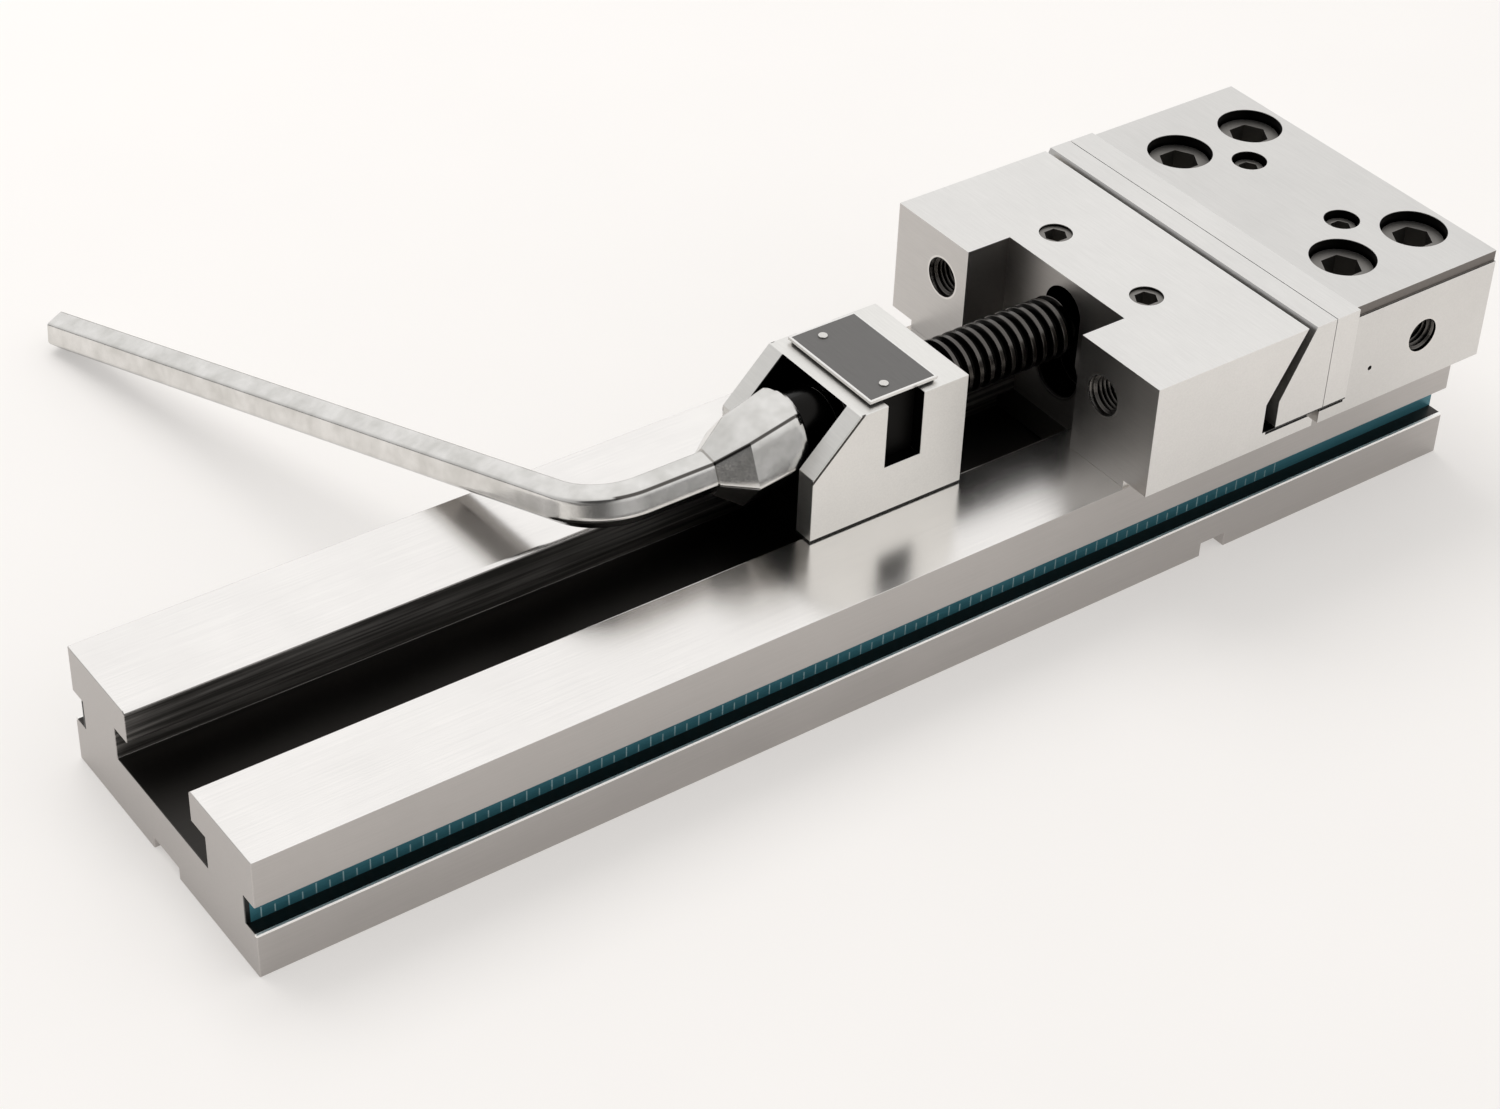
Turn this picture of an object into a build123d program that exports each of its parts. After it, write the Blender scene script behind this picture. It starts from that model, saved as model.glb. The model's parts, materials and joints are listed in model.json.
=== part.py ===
"""Modular machine vise: a rail with a T slot, a fixed jaw, a pull-down movable jaw,
a spindle bracket that slides on the rail, and a crank on the spindle.
Millimetres, +Z up. Origin on the underside of the rail, halfway along it and on its
centre line. +X runs from the open end of the rail to the fixed jaw."""
import os
from math import asin, atan2, cos, hypot, sin, sqrt
from build123d import *

os.makedirs("parts", exist_ok=True)

# Driving dimensions

# Rail
rail_length = 530.0
rail_width = 128.0
rail_height = 50.0
slot_width = 45.0
slot_lip = 13.5            # thickness of the rail above the undercut
undercut_width = 64.0
undercut_height = 13.5
slot_edge_chamfer = 1.2
side_groove_height = 12.0
side_groove_depth = 7.5
side_groove_z = 24.5       # middle of the groove
long_key_width = 18.0
long_key_depth = 5.0
cross_key_width = 12.0
cross_key_depth = 6.0
cross_key_x = 145.0
strip_thickness = 0.8

# Jaws
jaw_width = 150.0
jaw_height = 50.0          # above the rail
jaw_relief = 3.0           # step up beside the rail
relief_margin = 1.0        # the step starts this far inside the rail edge
fixed_jaw_length = 73.0
insert_thickness = 11.5    # the two clamping faces, measured at the top
insert_proud = 1.0         # how far an insert stands out of the jaw sides
shelf_height = 9.5         # top of the shelf under the inserts, above the rail
insert_lift = 0.7          # insert above its shelf
insert_step = 12.0         # height of the upright foot of the movable insert
movable_insert_top = 9.8   # thickness of the movable insert at the top
insert_foot = 24.0         # and at the foot
jaw_gap_top = 3.4          # gap behind the movable insert, at the top
jaw_gap_foot = 5.5         # the same at the foot
movable_foot_length = 56.3 # rear face to the foot of the inclined face
contact_gap = 0.3          # between the two clamping faces at rest
shelf_end_chamfer = 3.8
shelf_reach = 0.5          # the fixed shelf in front of the fixed insert
shelf_gap = 0.4            # between the two shelves at the end of the travel
crank_travel = 200.0       # degrees the crank turns between rest and stop
pin_radius = 5.0           # guide pins of the movable insert
pin_y = 55.0
pin_rise = 16.5            # above the rail
pin_grip = 18.0            # into the jaw body
pin_cover = 8.0            # metal left in front of them
pin_end_gap = 2.0          # behind them at the end of the travel
rear_notch_width = 66.0
rear_notch_depth = 20.0
rear_hole_y = 47.0
rear_hole_z = 31.4         # above the rail
mount_thread_radius = 8.0  # M16
mount_thread_depth = 28.0
side_hole_z = 24.2         # above the rail
side_hole_radius = 7.0
edge_rebate_height = 4.5
edge_rebate_depth = 0.8
pin_hole_radius = 1.0
pin_hole_x = 12.0          # from the front of the fixed jaw body
pin_hole_z = 19.0          # above the rail
pin_hole_depth = 8.0
fixed_key_depth = 5.0      # key under the fixed jaw

# Screws: socket heads and grub screws
head_ratio = 1.5           # head radius over thread radius
hex_ratio = 0.87           # half the width of the hexagon socket over the thread radius
hex_depth_ratio = 1.1      # and its depth over the thread radius
bolt_radius = 8.0
bolt_side = 18.0           # from the sides of the rail to the bolts
bolt_front_inset = 19.9    # from the front of the fixed jaw to the front bolts
bolt_end_inset = 15.7      # from the end of the rail to the rear bolts
bolt_sink = 4.0            # head top below the jaw top
bolt_length = 54.0
small_screw_radius = 4.0
small_screw_length = 34.0
small_screw_y = 26.0
small_screw_sink = 3.0
grub_radius = 6.5
grub_length = 18.0
grub_sink = 1.0
grub_hex = 8.0
grub_hex_depth = 6.0
grub_x = 36.8              # from the rear face of the movable jaw
shoe_screw_radius = 3.0
shoe_screw_y = 13.0
shoe_inset = 9.0           # from the ends of the bracket's shoe
keeper_screw_y = 17.5
keeper_inset = 6.0         # from the ends of the jaw's keeper
keeper_screw_reach = 12.0  # into the jaw
shoe_screw_reach = 12.0    # into the bracket
insert_screw_radius = 5.0
insert_screw_y = 18.0
insert_screw_z = 28.0      # above the rail
insert_screw_reach = 12.0  # into the jaw
insert_head_radius = 9.0
insert_head_length = 5.0
insert_head_sink = 1.0
insert_hex = 6.0           # across the flats
insert_hex_depth = 3.5

# Spindle and its bracket
spindle_rise = 30.0        # axis above the rail
thread_radius = 12.0
thread_pitch = 5.0
thread_end_chamfer = 1.5   # where the thread runs out at the jaw
bracket_length = 68.0
bracket_width = 55.0
bracket_height = 47.3
bracket_bevel = 19.8       # the 45 degree cut at its front
bracket_channel = 38.0
bracket_roof = 3.0
bracket_floor = 4.0
bracket_gap = 48.0         # bracket to movable jaw, face to face
nut_length = 16.0
nut_setback = 32.0         # front of the bracket to the front of the nut
window_depth = 26.9        # the cross slot, below the bracket top
nut_width = 44.0
nut_foot = 10.0            # the nut below the window sill
plate_length = 30.0
plate_width = 49.0
plate_thickness = 1.2
gasket_thickness = 1.0
gasket_inset = 1.0         # from the edges of the plate
rivet_x = 4.8              # from the front of the nut
rivet_y = 18.0
rivet_radius = 1.25
rivet_head_radius = 1.8
rivet_head_height = 0.6
rivet_depth = 6.0          # into the nut
plate_overhang = 6.0       # the plate starts this far in front of the nut
nut_cover_gap = 0.6        # nut below the bracket top
collar_radius = 13.0
collar_length = 5.0
mouth_setback = 15.0       # front of the bracket to the mouth of the crank socket
neck_radius = 9.0
neck_slot_width = 20.0
neck_slot_top = 45.0       # above the rail
neck_slot_low = 9.0        # centre of its round lower end, above the rail
neck_slot_low_radius = 12.0
neck_slot_depth = 12.0
thread_stop = 3.0          # the thread ends this far from the notch floor
fork_setback = 10.0        # back of the keyhole slot to the fork
journal_nose = 6.0         # journal beyond the fork
keeper_reach = 3.0         # keeper beyond the journal
fork_thickness = 5.0
fork_width = 28.0
fork_neck_radius = 6.0
drive_hex = 19.0
drive_length = 17.0
hex_turn = 40.0            # corners of the hexagons, from the plane of the bend

# Crank
socket_hex = 32.0
socket_length = 22.0
socket_taper = 17.5
socket_mouth_chamfer = 3.0
socket_mouth_length = 4.2  # of that chamfer, along the socket
bar_hex = 14.0
bar_bend_from_mouth = 92.5 # along the spindle, from the socket mouth to the bend
bar_bend_radius = 26.0
arm_forward = 59.2         # the arm leans this far along the spindle
arm_reach = 308.0          # and this far across it
bar_end_chamfer = 2.5

# Fits
slide_fit = 0.05           # jaw and bracket on the rail
thread_fit = 0.08
journal_fit = 0.05
free_gap = 1.0
cut_overrun = 1.0          # how far a cut runs past the face it opens
shoe_side_gap = 0.5
bore_end_gap = 0.05

# Derived sizes
rail_top = rail_height
jaw_top = rail_top + jaw_height
half_jaw = jaw_width / 2
half_insert = half_jaw + insert_proud
lip_under = rail_top - slot_lip
slot_floor = lip_under - undercut_height
slide_top = rail_top + slide_fit
slide_lip = lip_under - slide_fit
tongue_half = slot_width / 2 - slide_fit
shoe_half = undercut_width / 2 - shoe_side_gap
relief_y = rail_width / 2 - relief_margin
shelf_z = rail_top + shelf_height
insert_z = shelf_z + insert_lift
rail_end = rail_length / 2
fixed_front = rail_end - fixed_jaw_length
plate_front = fixed_front - insert_thickness
insert_front = plate_front - contact_gap
insert_top_back = insert_front - movable_insert_top
insert_foot_back = insert_front - insert_foot
body_top_front = insert_top_back - jaw_gap_top
body_foot_front = insert_foot_back - jaw_gap_foot
jaw_rear = body_foot_front - movable_foot_length
knee_z = insert_z + insert_step
fixed_shelf_front = plate_front - shelf_reach
closing_travel = thread_pitch * crank_travel / 360
body_shelf_front = fixed_shelf_front - closing_travel - shelf_gap
axis_z = rail_top + spindle_rise
bracket_rear = jaw_rear - bracket_gap
bracket_front = bracket_rear - bracket_length
bracket_top = rail_top + bracket_height
bevel_x = bracket_front + bracket_bevel
bevel_z = bracket_top - bracket_bevel
nut_front = bracket_front + nut_setback
nut_back = nut_front + nut_length
window_z = bracket_top - window_depth
half_channel = bracket_channel / 2
mouth_x = bracket_front + mouth_setback
thread_front = mouth_x + collar_length
notch_floor_x = jaw_rear + rear_notch_depth
slot_back_x = notch_floor_x + neck_slot_depth
thread_back = notch_floor_x - thread_stop
fork_x = slot_back_x + fork_setback
journal_back = fork_x + fork_thickness + journal_nose
bore_back = journal_back + bore_end_gap
bolt_front_x = fixed_front + bolt_front_inset
bolt_end_x = rail_end - bolt_end_inset
bolt_middle_x = (bolt_front_x + bolt_end_x) / 2
bolt_y = rail_width / 2 - bolt_side
bolt_places = [(x, y) for x in (bolt_front_x, bolt_end_x) for y in (-bolt_y, bolt_y)]
small_places = [(bolt_middle_x, sy * small_screw_y) for sy in (-1, 1)]
grub_places = [(jaw_rear + grub_x, sy * small_screw_y) for sy in (-1, 1)]
insert_screw_places = [(sy * insert_screw_y, rail_top + insert_screw_z) for sy in (-1, 1)]
rivet_places = [(nut_front + rivet_x, sy * rivet_y) for sy in (-1, 1)]
pin_places = [(sy * pin_y, rail_top + pin_rise) for sy in (-1, 1)]
pin_back = body_foot_front - pin_grip
pin_front = insert_front - pin_cover
keeper_front = notch_floor_x
keeper_back = journal_back + keeper_reach
keeper_screw_places = [(x, sy * keeper_screw_y) for sy in (-1, 1)
                       for x in (keeper_front + keeper_inset, keeper_back - keeper_inset)]
shoe_front = bevel_x
shoe_back = bracket_rear
shoe_screw_places = [(x, sy * shoe_screw_y) for sy in (-1, 1)
                     for x in (shoe_front + shoe_inset, shoe_back - shoe_inset)]
shoe_bottom = slot_floor + free_gap
shoe_grip = slide_lip - shoe_bottom - 2 * shoe_screw_radius


def socket_screws(radius, length, places, top, up=1):
    """Socket head cap screws, heads ending at the height top. up is -1 where they go in from below."""
    head_end = top - up * 2 * radius
    with BuildPart() as screws:
        with BuildSketch(Plane.XY.offset(top)):
            with Locations(*places):
                Circle(head_ratio * radius)
        extrude(amount=-up * 2 * radius)
        with BuildSketch(Plane.XY.offset(head_end)):
            with Locations(*places):
                Circle(radius)
        extrude(amount=-up * length)
        with BuildSketch(Plane.XY.offset(top)):
            with Locations(*places):
                RegularPolygon(hex_ratio * radius, 6, major_radius=False)
        extrude(amount=-up * hex_depth_ratio * radius, mode=Mode.SUBTRACT)
    return screws


# Rail, with the T slot, the side grooves and the key slots underneath
with BuildPart() as rail:
    with BuildSketch(Plane.YZ.offset(-rail_end)):
        with Locations((0, rail_height / 2)):
            Rectangle(rail_width, rail_height)
        with Locations((0, slot_floor + undercut_height / 2)):
            Rectangle(undercut_width, undercut_height, mode=Mode.SUBTRACT)
        with Locations((0, rail_top - slot_lip / 2)):
            Rectangle(slot_width, slot_lip, mode=Mode.SUBTRACT)
        with Locations((0, long_key_depth / 2)):
            Rectangle(long_key_width, long_key_depth, mode=Mode.SUBTRACT)
        for side in (-1, 1):
            with Locations((side * (rail_width - side_groove_depth) / 2, side_groove_z)):
                Rectangle(side_groove_depth, side_groove_height, mode=Mode.SUBTRACT)
            with BuildLine():
                edge = side * slot_width / 2
                Polyline((edge, rail_top), (edge + side * slot_edge_chamfer, rail_top),
                         (edge, rail_top - slot_edge_chamfer), close=True)
            make_face(mode=Mode.SUBTRACT)
    extrude(amount=rail_length)
    with BuildSketch(Plane.XY):
        with Locations((cross_key_x, 0)):
            Rectangle(cross_key_width, rail_width)
    extrude(amount=cross_key_depth, mode=Mode.SUBTRACT)
    bolt_bottom = jaw_top - bolt_sink - 2 * bolt_radius - bolt_length
    with BuildSketch(Plane.XY.offset(rail_top)):
        with Locations(*bolt_places):
            Circle(bolt_radius)
    extrude(amount=bolt_bottom - rail_top, mode=Mode.SUBTRACT)
rail.part.label = "rail"
export_step(rail.part, "parts/rail.step")

with BuildPart() as scale_strips:
    for side in (-1, 1):
        wall = rail_width / 2 - side_groove_depth
        with BuildSketch(Plane.YZ.offset(-rail_end)):
            with Locations((side * (wall + strip_thickness / 2), side_groove_z)):
                Rectangle(strip_thickness, side_groove_height)
        extrude(amount=rail_length)
scale_strips.part.label = "scale_strips"
export_step(scale_strips.part, "parts/scale_strips.step")

# Fixed jaw, keyed into the T slot and bolted down
with BuildPart() as fixed_jaw:
    with BuildSketch(Plane.XZ):
        with BuildLine():
            Polyline((fixed_front, jaw_top), (rail_end, jaw_top), (rail_end, rail_top),
                     (fixed_shelf_front, rail_top), (fixed_shelf_front, shelf_z),
                     (fixed_front, shelf_z), close=True)
        make_face()
    extrude(amount=half_jaw, both=True)
    for side in (-1, 1):
        with BuildSketch(Plane.YZ.offset(fixed_shelf_front)):
            with Locations((side * (half_jaw + relief_y) / 2, rail_top + jaw_relief / 2)):
                Rectangle(half_jaw - relief_y, jaw_relief)
        extrude(amount=rail_end - fixed_shelf_front, mode=Mode.SUBTRACT)
        with BuildSketch(Plane.YZ.offset(fixed_front)):
            with Locations((side * (half_jaw - edge_rebate_depth / 2),
                            jaw_top - edge_rebate_height / 2)):
                Rectangle(edge_rebate_depth, edge_rebate_height)
        extrude(amount=fixed_jaw_length, mode=Mode.SUBTRACT)
        with Locations(Plane((bolt_middle_x, side * half_jaw, rail_top + side_hole_z),
                             z_dir=(0, side, 0))):
            Hole(radius=side_hole_radius, depth=mount_thread_depth)
        with Locations(Plane((fixed_front + pin_hole_x, side * half_jaw, rail_top + pin_hole_z),
                             z_dir=(0, side, 0))):
            Hole(radius=pin_hole_radius, depth=pin_hole_depth)
    # key on the underside, in the mouth of the T slot
    with BuildSketch(Plane.XY.offset(rail_top)):
        with Locations((rail_end - fixed_jaw_length / 2, 0)):
            Rectangle(fixed_jaw_length, slot_width)
    extrude(amount=-fixed_key_depth)
    with Locations(*[(x, y, jaw_top) for x, y in bolt_places]):
        CounterBoreHole(radius=bolt_radius + free_gap, depth=jaw_height,
                        counter_bore_radius=head_ratio * bolt_radius + free_gap,
                        counter_bore_depth=bolt_sink + 2 * bolt_radius)
    with Locations(*[(x, y, jaw_top) for x, y in small_places]):
        CounterBoreHole(radius=small_screw_radius,
                        depth=small_screw_sink + 2 * small_screw_radius + small_screw_length,
                        counter_bore_radius=head_ratio * small_screw_radius + free_gap,
                        counter_bore_depth=small_screw_sink + 2 * small_screw_radius)
    # threaded holes for the insert
    with BuildSketch(Plane.YZ.offset(fixed_front)):
        with Locations(*insert_screw_places):
            Circle(insert_screw_radius)
    extrude(amount=insert_screw_reach, mode=Mode.SUBTRACT)
fixed_jaw.part.label = "fixed_jaw"
export_step(fixed_jaw.part, "parts/fixed_jaw.step")

fixed_jaw_bolts = socket_screws(bolt_radius, bolt_length, bolt_places, jaw_top - bolt_sink)
fixed_jaw_bolts.part.label = "fixed_jaw_bolts"
export_step(fixed_jaw_bolts.part, "parts/fixed_jaw_bolts.step")
jaw_plug_screws = socket_screws(small_screw_radius, small_screw_length, small_places,
                                jaw_top - small_screw_sink)
jaw_plug_screws.part.label = "jaw_plug_screws"
export_step(jaw_plug_screws.part, "parts/jaw_plug_screws.step")

# Insert on the fixed jaw, with two countersunk screws behind the clamping face
with BuildPart() as fixed_insert:
    with BuildSketch(Plane.XZ):
        with BuildLine():
            Polyline((plate_front, jaw_top), (fixed_front, jaw_top), (fixed_front, insert_z),
                     (plate_front, insert_z), close=True)
        make_face()
    extrude(amount=half_insert, both=True)
    with BuildSketch(Plane.YZ.offset(plate_front)):
        with Locations(*insert_screw_places):
            Circle(insert_head_radius)
    extrude(amount=insert_head_length + insert_head_sink, mode=Mode.SUBTRACT)
    with BuildSketch(Plane.YZ.offset(plate_front)):
        with Locations(*insert_screw_places):
            Circle(insert_screw_radius)
    extrude(amount=insert_thickness, mode=Mode.SUBTRACT)
fixed_insert.part.label = "fixed_insert"
export_step(fixed_insert.part, "parts/fixed_insert.step")

with BuildPart() as insert_screws:
    head_x = plate_front + insert_head_sink
    with BuildSketch(Plane.YZ.offset(head_x)):
        with Locations(*insert_screw_places):
            Circle(insert_head_radius)
    extrude(amount=insert_head_length)
    with BuildSketch(Plane.YZ.offset(head_x + insert_head_length)):
        with Locations(*insert_screw_places):
            Circle(insert_screw_radius)
    extrude(amount=fixed_front + insert_screw_reach - head_x - insert_head_length)
    with BuildSketch(Plane.YZ.offset(head_x)):
        with Locations(*insert_screw_places):
            RegularPolygon(insert_hex / 2, 6, major_radius=False)
    extrude(amount=insert_hex_depth, mode=Mode.SUBTRACT)
insert_screws.part.label = "insert_screws"
export_step(insert_screws.part, "parts/insert_screws.step")

# Movable jaw
with BuildPart() as movable_jaw:
    with BuildSketch(Plane.XZ):
        with BuildLine():
            Polyline((jaw_rear, slide_top), (body_shelf_front, slide_top),
                     (body_shelf_front, shelf_z - shelf_end_chamfer),
                     (body_shelf_front - shelf_end_chamfer, shelf_z),
                     (body_foot_front, shelf_z), (body_foot_front, knee_z),
                     (body_top_front, jaw_top), (jaw_rear, jaw_top), close=True)
        make_face()
    extrude(amount=half_jaw, both=True)
    # tongue in the mouth of the T slot
    with BuildSketch(Plane.XY.offset(slide_lip)):
        with Locations(((keeper_front + keeper_back) / 2, 0)):
            Rectangle(keeper_back - keeper_front, 2 * tongue_half)
    extrude(amount=slide_top - slide_lip)
    for side in (-1, 1):
        with BuildSketch(Plane.YZ.offset(jaw_rear)):
            with Locations((side * (half_jaw + relief_y) / 2, rail_top + jaw_relief / 2)):
                Rectangle(half_jaw - relief_y, jaw_relief)
        extrude(amount=body_shelf_front - jaw_rear, mode=Mode.SUBTRACT)
    # notch round the spindle at the rear
    with BuildSketch(Plane.XY.offset(slide_top)):
        with Locations((jaw_rear + rear_notch_depth / 2, 0)):
            Rectangle(rear_notch_depth, rear_notch_width)
    extrude(amount=jaw_top - slide_top, mode=Mode.SUBTRACT)
    # keyhole in the wall of the notch, then the spindle bore
    with BuildSketch(Plane.YZ.offset(notch_floor_x)):
        with Locations((0, rail_top + neck_slot_low)):
            Circle(neck_slot_low_radius)
        slot_centre = rail_top + neck_slot_top - neck_slot_width / 2
        with Locations((0, slot_centre)):
            Circle(neck_slot_width / 2)
        with Locations((0, (slot_centre + rail_top + neck_slot_low) / 2)):
            Rectangle(neck_slot_width, slot_centre - rail_top - neck_slot_low)
    extrude(amount=neck_slot_depth, mode=Mode.SUBTRACT)
    with BuildSketch(Plane.YZ.offset(slot_back_x)):
        with Locations((0, axis_z)):
            Circle(neck_radius + journal_fit)
    extrude(amount=bore_back - slot_back_x, mode=Mode.SUBTRACT)
    # pocket for the fork that holds the spindle, open below
    with BuildSketch(Plane.XY.offset(slide_lip)):
        with Locations((fork_x + fork_thickness / 2, 0)):
            Rectangle(fork_thickness, fork_width)
    extrude(amount=axis_z + neck_radius + free_gap - slide_lip, mode=Mode.SUBTRACT)
    with BuildSketch(Plane.XY.offset(slide_lip)):
        with Locations(*keeper_screw_places):
            Circle(shoe_screw_radius)
    extrude(amount=keeper_screw_reach, mode=Mode.SUBTRACT)
    with BuildSketch(Plane.XY.offset(jaw_top)):
        with Locations(*grub_places):
            Circle(grub_radius)
    extrude(amount=-grub_sink - grub_length, mode=Mode.SUBTRACT)
    for side in (-1, 1):
        with BuildSketch(Plane.YZ.offset(jaw_rear)):
            with Locations((side * rear_hole_y, rail_top + rear_hole_z)):
                Circle(mount_thread_radius)
        extrude(amount=mount_thread_depth, mode=Mode.SUBTRACT)
    # bores for the guide pins of the insert
    with BuildSketch(Plane.YZ.offset(body_foot_front)):
        with Locations(*pin_places):
            Circle(pin_radius + journal_fit)
    extrude(amount=pin_back - closing_travel - pin_end_gap - body_foot_front, mode=Mode.SUBTRACT)
movable_jaw.part.label = "movable_jaw"
export_step(movable_jaw.part, "parts/movable_jaw.step")

with BuildPart() as jaw_keeper:
    with BuildSketch(Plane.XY.offset(slide_lip)):
        with Locations(((keeper_front + keeper_back) / 2, 0)):
            Rectangle(keeper_back - keeper_front, 2 * shoe_half)
    extrude(amount=shoe_bottom - slide_lip)
    with BuildSketch(Plane.XY.offset(slide_lip)):
        with Locations(*keeper_screw_places):
            Circle(shoe_screw_radius)
    extrude(amount=shoe_bottom - slide_lip, mode=Mode.SUBTRACT)
    with BuildSketch(Plane.XY.offset(shoe_bottom)):
        with Locations(*keeper_screw_places):
            Circle(head_ratio * shoe_screw_radius)
    extrude(amount=2 * shoe_screw_radius, mode=Mode.SUBTRACT)
jaw_keeper.part.label = "jaw_keeper"
export_step(jaw_keeper.part, "parts/jaw_keeper.step")

jaw_keeper_screws = socket_screws(shoe_screw_radius, shoe_grip + keeper_screw_reach,
                                  keeper_screw_places, shoe_bottom, up=-1)
jaw_keeper_screws.part.label = "jaw_keeper_screws"
export_step(jaw_keeper_screws.part, "parts/jaw_keeper_screws.step")

with BuildPart() as spindle_fork:
    with BuildSketch(Plane.YZ.offset(fork_x)):
        with Locations((0, (axis_z + slide_lip) / 2)):
            Rectangle(fork_width, axis_z - slide_lip)
        with Locations((0, axis_z)):
            Circle(fork_neck_radius + journal_fit, mode=Mode.SUBTRACT)
    extrude(amount=fork_thickness)
spindle_fork.part.label = "spindle_fork"
export_step(spindle_fork.part, "parts/spindle_fork.step")

with BuildPart() as jaw_grub_screws:
    with BuildSketch(Plane.XY.offset(jaw_top - grub_sink)):
        with Locations(*grub_places):
            Circle(grub_radius)
    extrude(amount=-grub_length)
    with BuildSketch(Plane.XY.offset(jaw_top - grub_sink)):
        with Locations(*grub_places):
            RegularPolygon(grub_hex / 2, 6, major_radius=False)
    extrude(amount=-grub_hex_depth, mode=Mode.SUBTRACT)
jaw_grub_screws.part.label = "jaw_grub_screws"
export_step(jaw_grub_screws.part, "parts/jaw_grub_screws.step")

# Insert of the movable jaw, free to lag behind the jaw body
with BuildPart() as movable_insert:
    with BuildSketch(Plane.XZ):
        with BuildLine():
            Polyline((insert_front, jaw_top), (insert_top_back, jaw_top),
                     (insert_foot_back, knee_z), (insert_foot_back, insert_z),
                     (insert_front, insert_z), close=True)
        make_face()
    extrude(amount=half_insert, both=True)
    with BuildSketch(Plane.YZ.offset(insert_foot_back)):
        with Locations(*pin_places):
            Circle(pin_radius)
    extrude(amount=pin_front - insert_foot_back, mode=Mode.SUBTRACT)
movable_insert.part.label = "movable_insert"
export_step(movable_insert.part, "parts/movable_insert.step")

with BuildPart() as guide_pins:
    with BuildSketch(Plane.YZ.offset(pin_back)):
        with Locations(*pin_places):
            Circle(pin_radius)
    extrude(amount=pin_front - pin_back)
guide_pins.part.label = "guide_pins"
export_step(guide_pins.part, "parts/guide_pins.step")

# Spindle bracket, with its nut, cover plate and shoe
with BuildPart() as spindle_bracket:
    with BuildSketch(Plane.XZ):
        with BuildLine():
            Polyline((bracket_front, slide_top), (bracket_rear, slide_top),
                     (bracket_rear, bracket_top), (bevel_x, bracket_top),
                     (bracket_front, bevel_z), close=True)
        make_face()
    extrude(amount=bracket_width / 2, both=True)
    with BuildSketch(Plane.XY.offset(slide_lip)):
        with Locations(((shoe_front + shoe_back) / 2, 0)):
            Rectangle(shoe_back - shoe_front, 2 * tongue_half)
    extrude(amount=slide_top - slide_lip)
    # channel for the crank socket, open in front and through the bevel
    with BuildSketch(Plane.XZ):
        with BuildLine():
            Polyline((bracket_front - cut_overrun, slide_top - cut_overrun),
                     (bevel_x, slide_top - cut_overrun),
                     (bevel_x, rail_top + bracket_floor), (nut_front, rail_top + bracket_floor),
                     (nut_front, bracket_top - bracket_roof),
                     (bevel_x + bracket_roof, bracket_top - bracket_roof),
                     (bevel_x, bracket_top), (bracket_front - cut_overrun, bracket_top), close=True)
        make_face()
    extrude(amount=half_channel, both=True, mode=Mode.SUBTRACT)
    # cross slot for the nut, open at the top and seen as a window from the side
    with BuildSketch(Plane.XZ):
        with Locations(((nut_front + nut_back) / 2, (window_z + bracket_top) / 2)):
            Rectangle(nut_length, bracket_top - window_z)
    extrude(amount=bracket_width / 2, both=True, mode=Mode.SUBTRACT)
    with BuildSketch(Plane.XZ):
        with Locations(((nut_front + nut_back) / 2, window_z - nut_foot / 2)):
            Rectangle(nut_length, nut_foot)
    extrude(amount=half_channel, both=True, mode=Mode.SUBTRACT)
    with BuildSketch(Plane.YZ.offset(nut_back)):
        with Locations((0, axis_z)):
            Circle(thread_radius + free_gap)
    extrude(amount=bracket_rear - nut_back, mode=Mode.SUBTRACT)
    with BuildSketch(Plane.XY.offset(slide_lip)):
        with Locations(*shoe_screw_places):
            Circle(shoe_screw_radius)
    extrude(amount=shoe_screw_reach, mode=Mode.SUBTRACT)
spindle_bracket.part.label = "spindle_bracket"
export_step(spindle_bracket.part, "parts/spindle_bracket.step")

with BuildPart() as lead_nut:
    nut_top = bracket_top - nut_cover_gap
    with BuildSketch(Plane.YZ.offset(nut_front)):
        with Locations((0, (window_z + nut_top) / 2)):
            Rectangle(nut_width, nut_top - window_z)
        with Locations((0, window_z - nut_foot / 2)):
            Rectangle(2 * half_channel, nut_foot)
        with Locations((0, axis_z)):
            Circle(thread_radius + thread_fit, mode=Mode.SUBTRACT)
    extrude(amount=nut_length)
    with BuildSketch(Plane.XY.offset(nut_top)):
        with Locations(*rivet_places):
            Circle(rivet_radius)
    extrude(amount=-rivet_depth + nut_cover_gap, mode=Mode.SUBTRACT)
lead_nut.part.label = "lead_nut"
export_step(lead_nut.part, "parts/lead_nut.step")

plate_x = nut_front - plate_overhang + plate_length / 2
plate_z = bracket_top + gasket_thickness
with BuildPart() as plate_gasket:
    with BuildSketch(Plane.XY.offset(bracket_top)):
        with Locations((plate_x, 0)):
            Rectangle(plate_length - 2 * gasket_inset, plate_width - 2 * gasket_inset)
        with Locations(*rivet_places):
            Circle(rivet_radius, mode=Mode.SUBTRACT)
    extrude(amount=gasket_thickness)
plate_gasket.part.label = "plate_gasket"
export_step(plate_gasket.part, "parts/plate_gasket.step")

with BuildPart() as cover_plate:
    with BuildSketch(Plane.XY.offset(plate_z)):
        with Locations((plate_x, 0)):
            Rectangle(plate_length, plate_width)
        with Locations(*rivet_places):
            Circle(rivet_radius, mode=Mode.SUBTRACT)
    extrude(amount=plate_thickness)
cover_plate.part.label = "cover_plate"
export_step(cover_plate.part, "parts/cover_plate.step")

with BuildPart() as plate_rivets:
    with BuildSketch(Plane.XY.offset(bracket_top - rivet_depth)):
        with Locations(*rivet_places):
            Circle(rivet_radius)
    extrude(amount=rivet_depth + gasket_thickness + plate_thickness)
    with BuildSketch(Plane.XY.offset(plate_z + plate_thickness)):
        with Locations(*rivet_places):
            Circle(rivet_head_radius)
    extrude(amount=rivet_head_height)
plate_rivets.part.label = "plate_rivets"
export_step(plate_rivets.part, "parts/plate_rivets.step")

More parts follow.
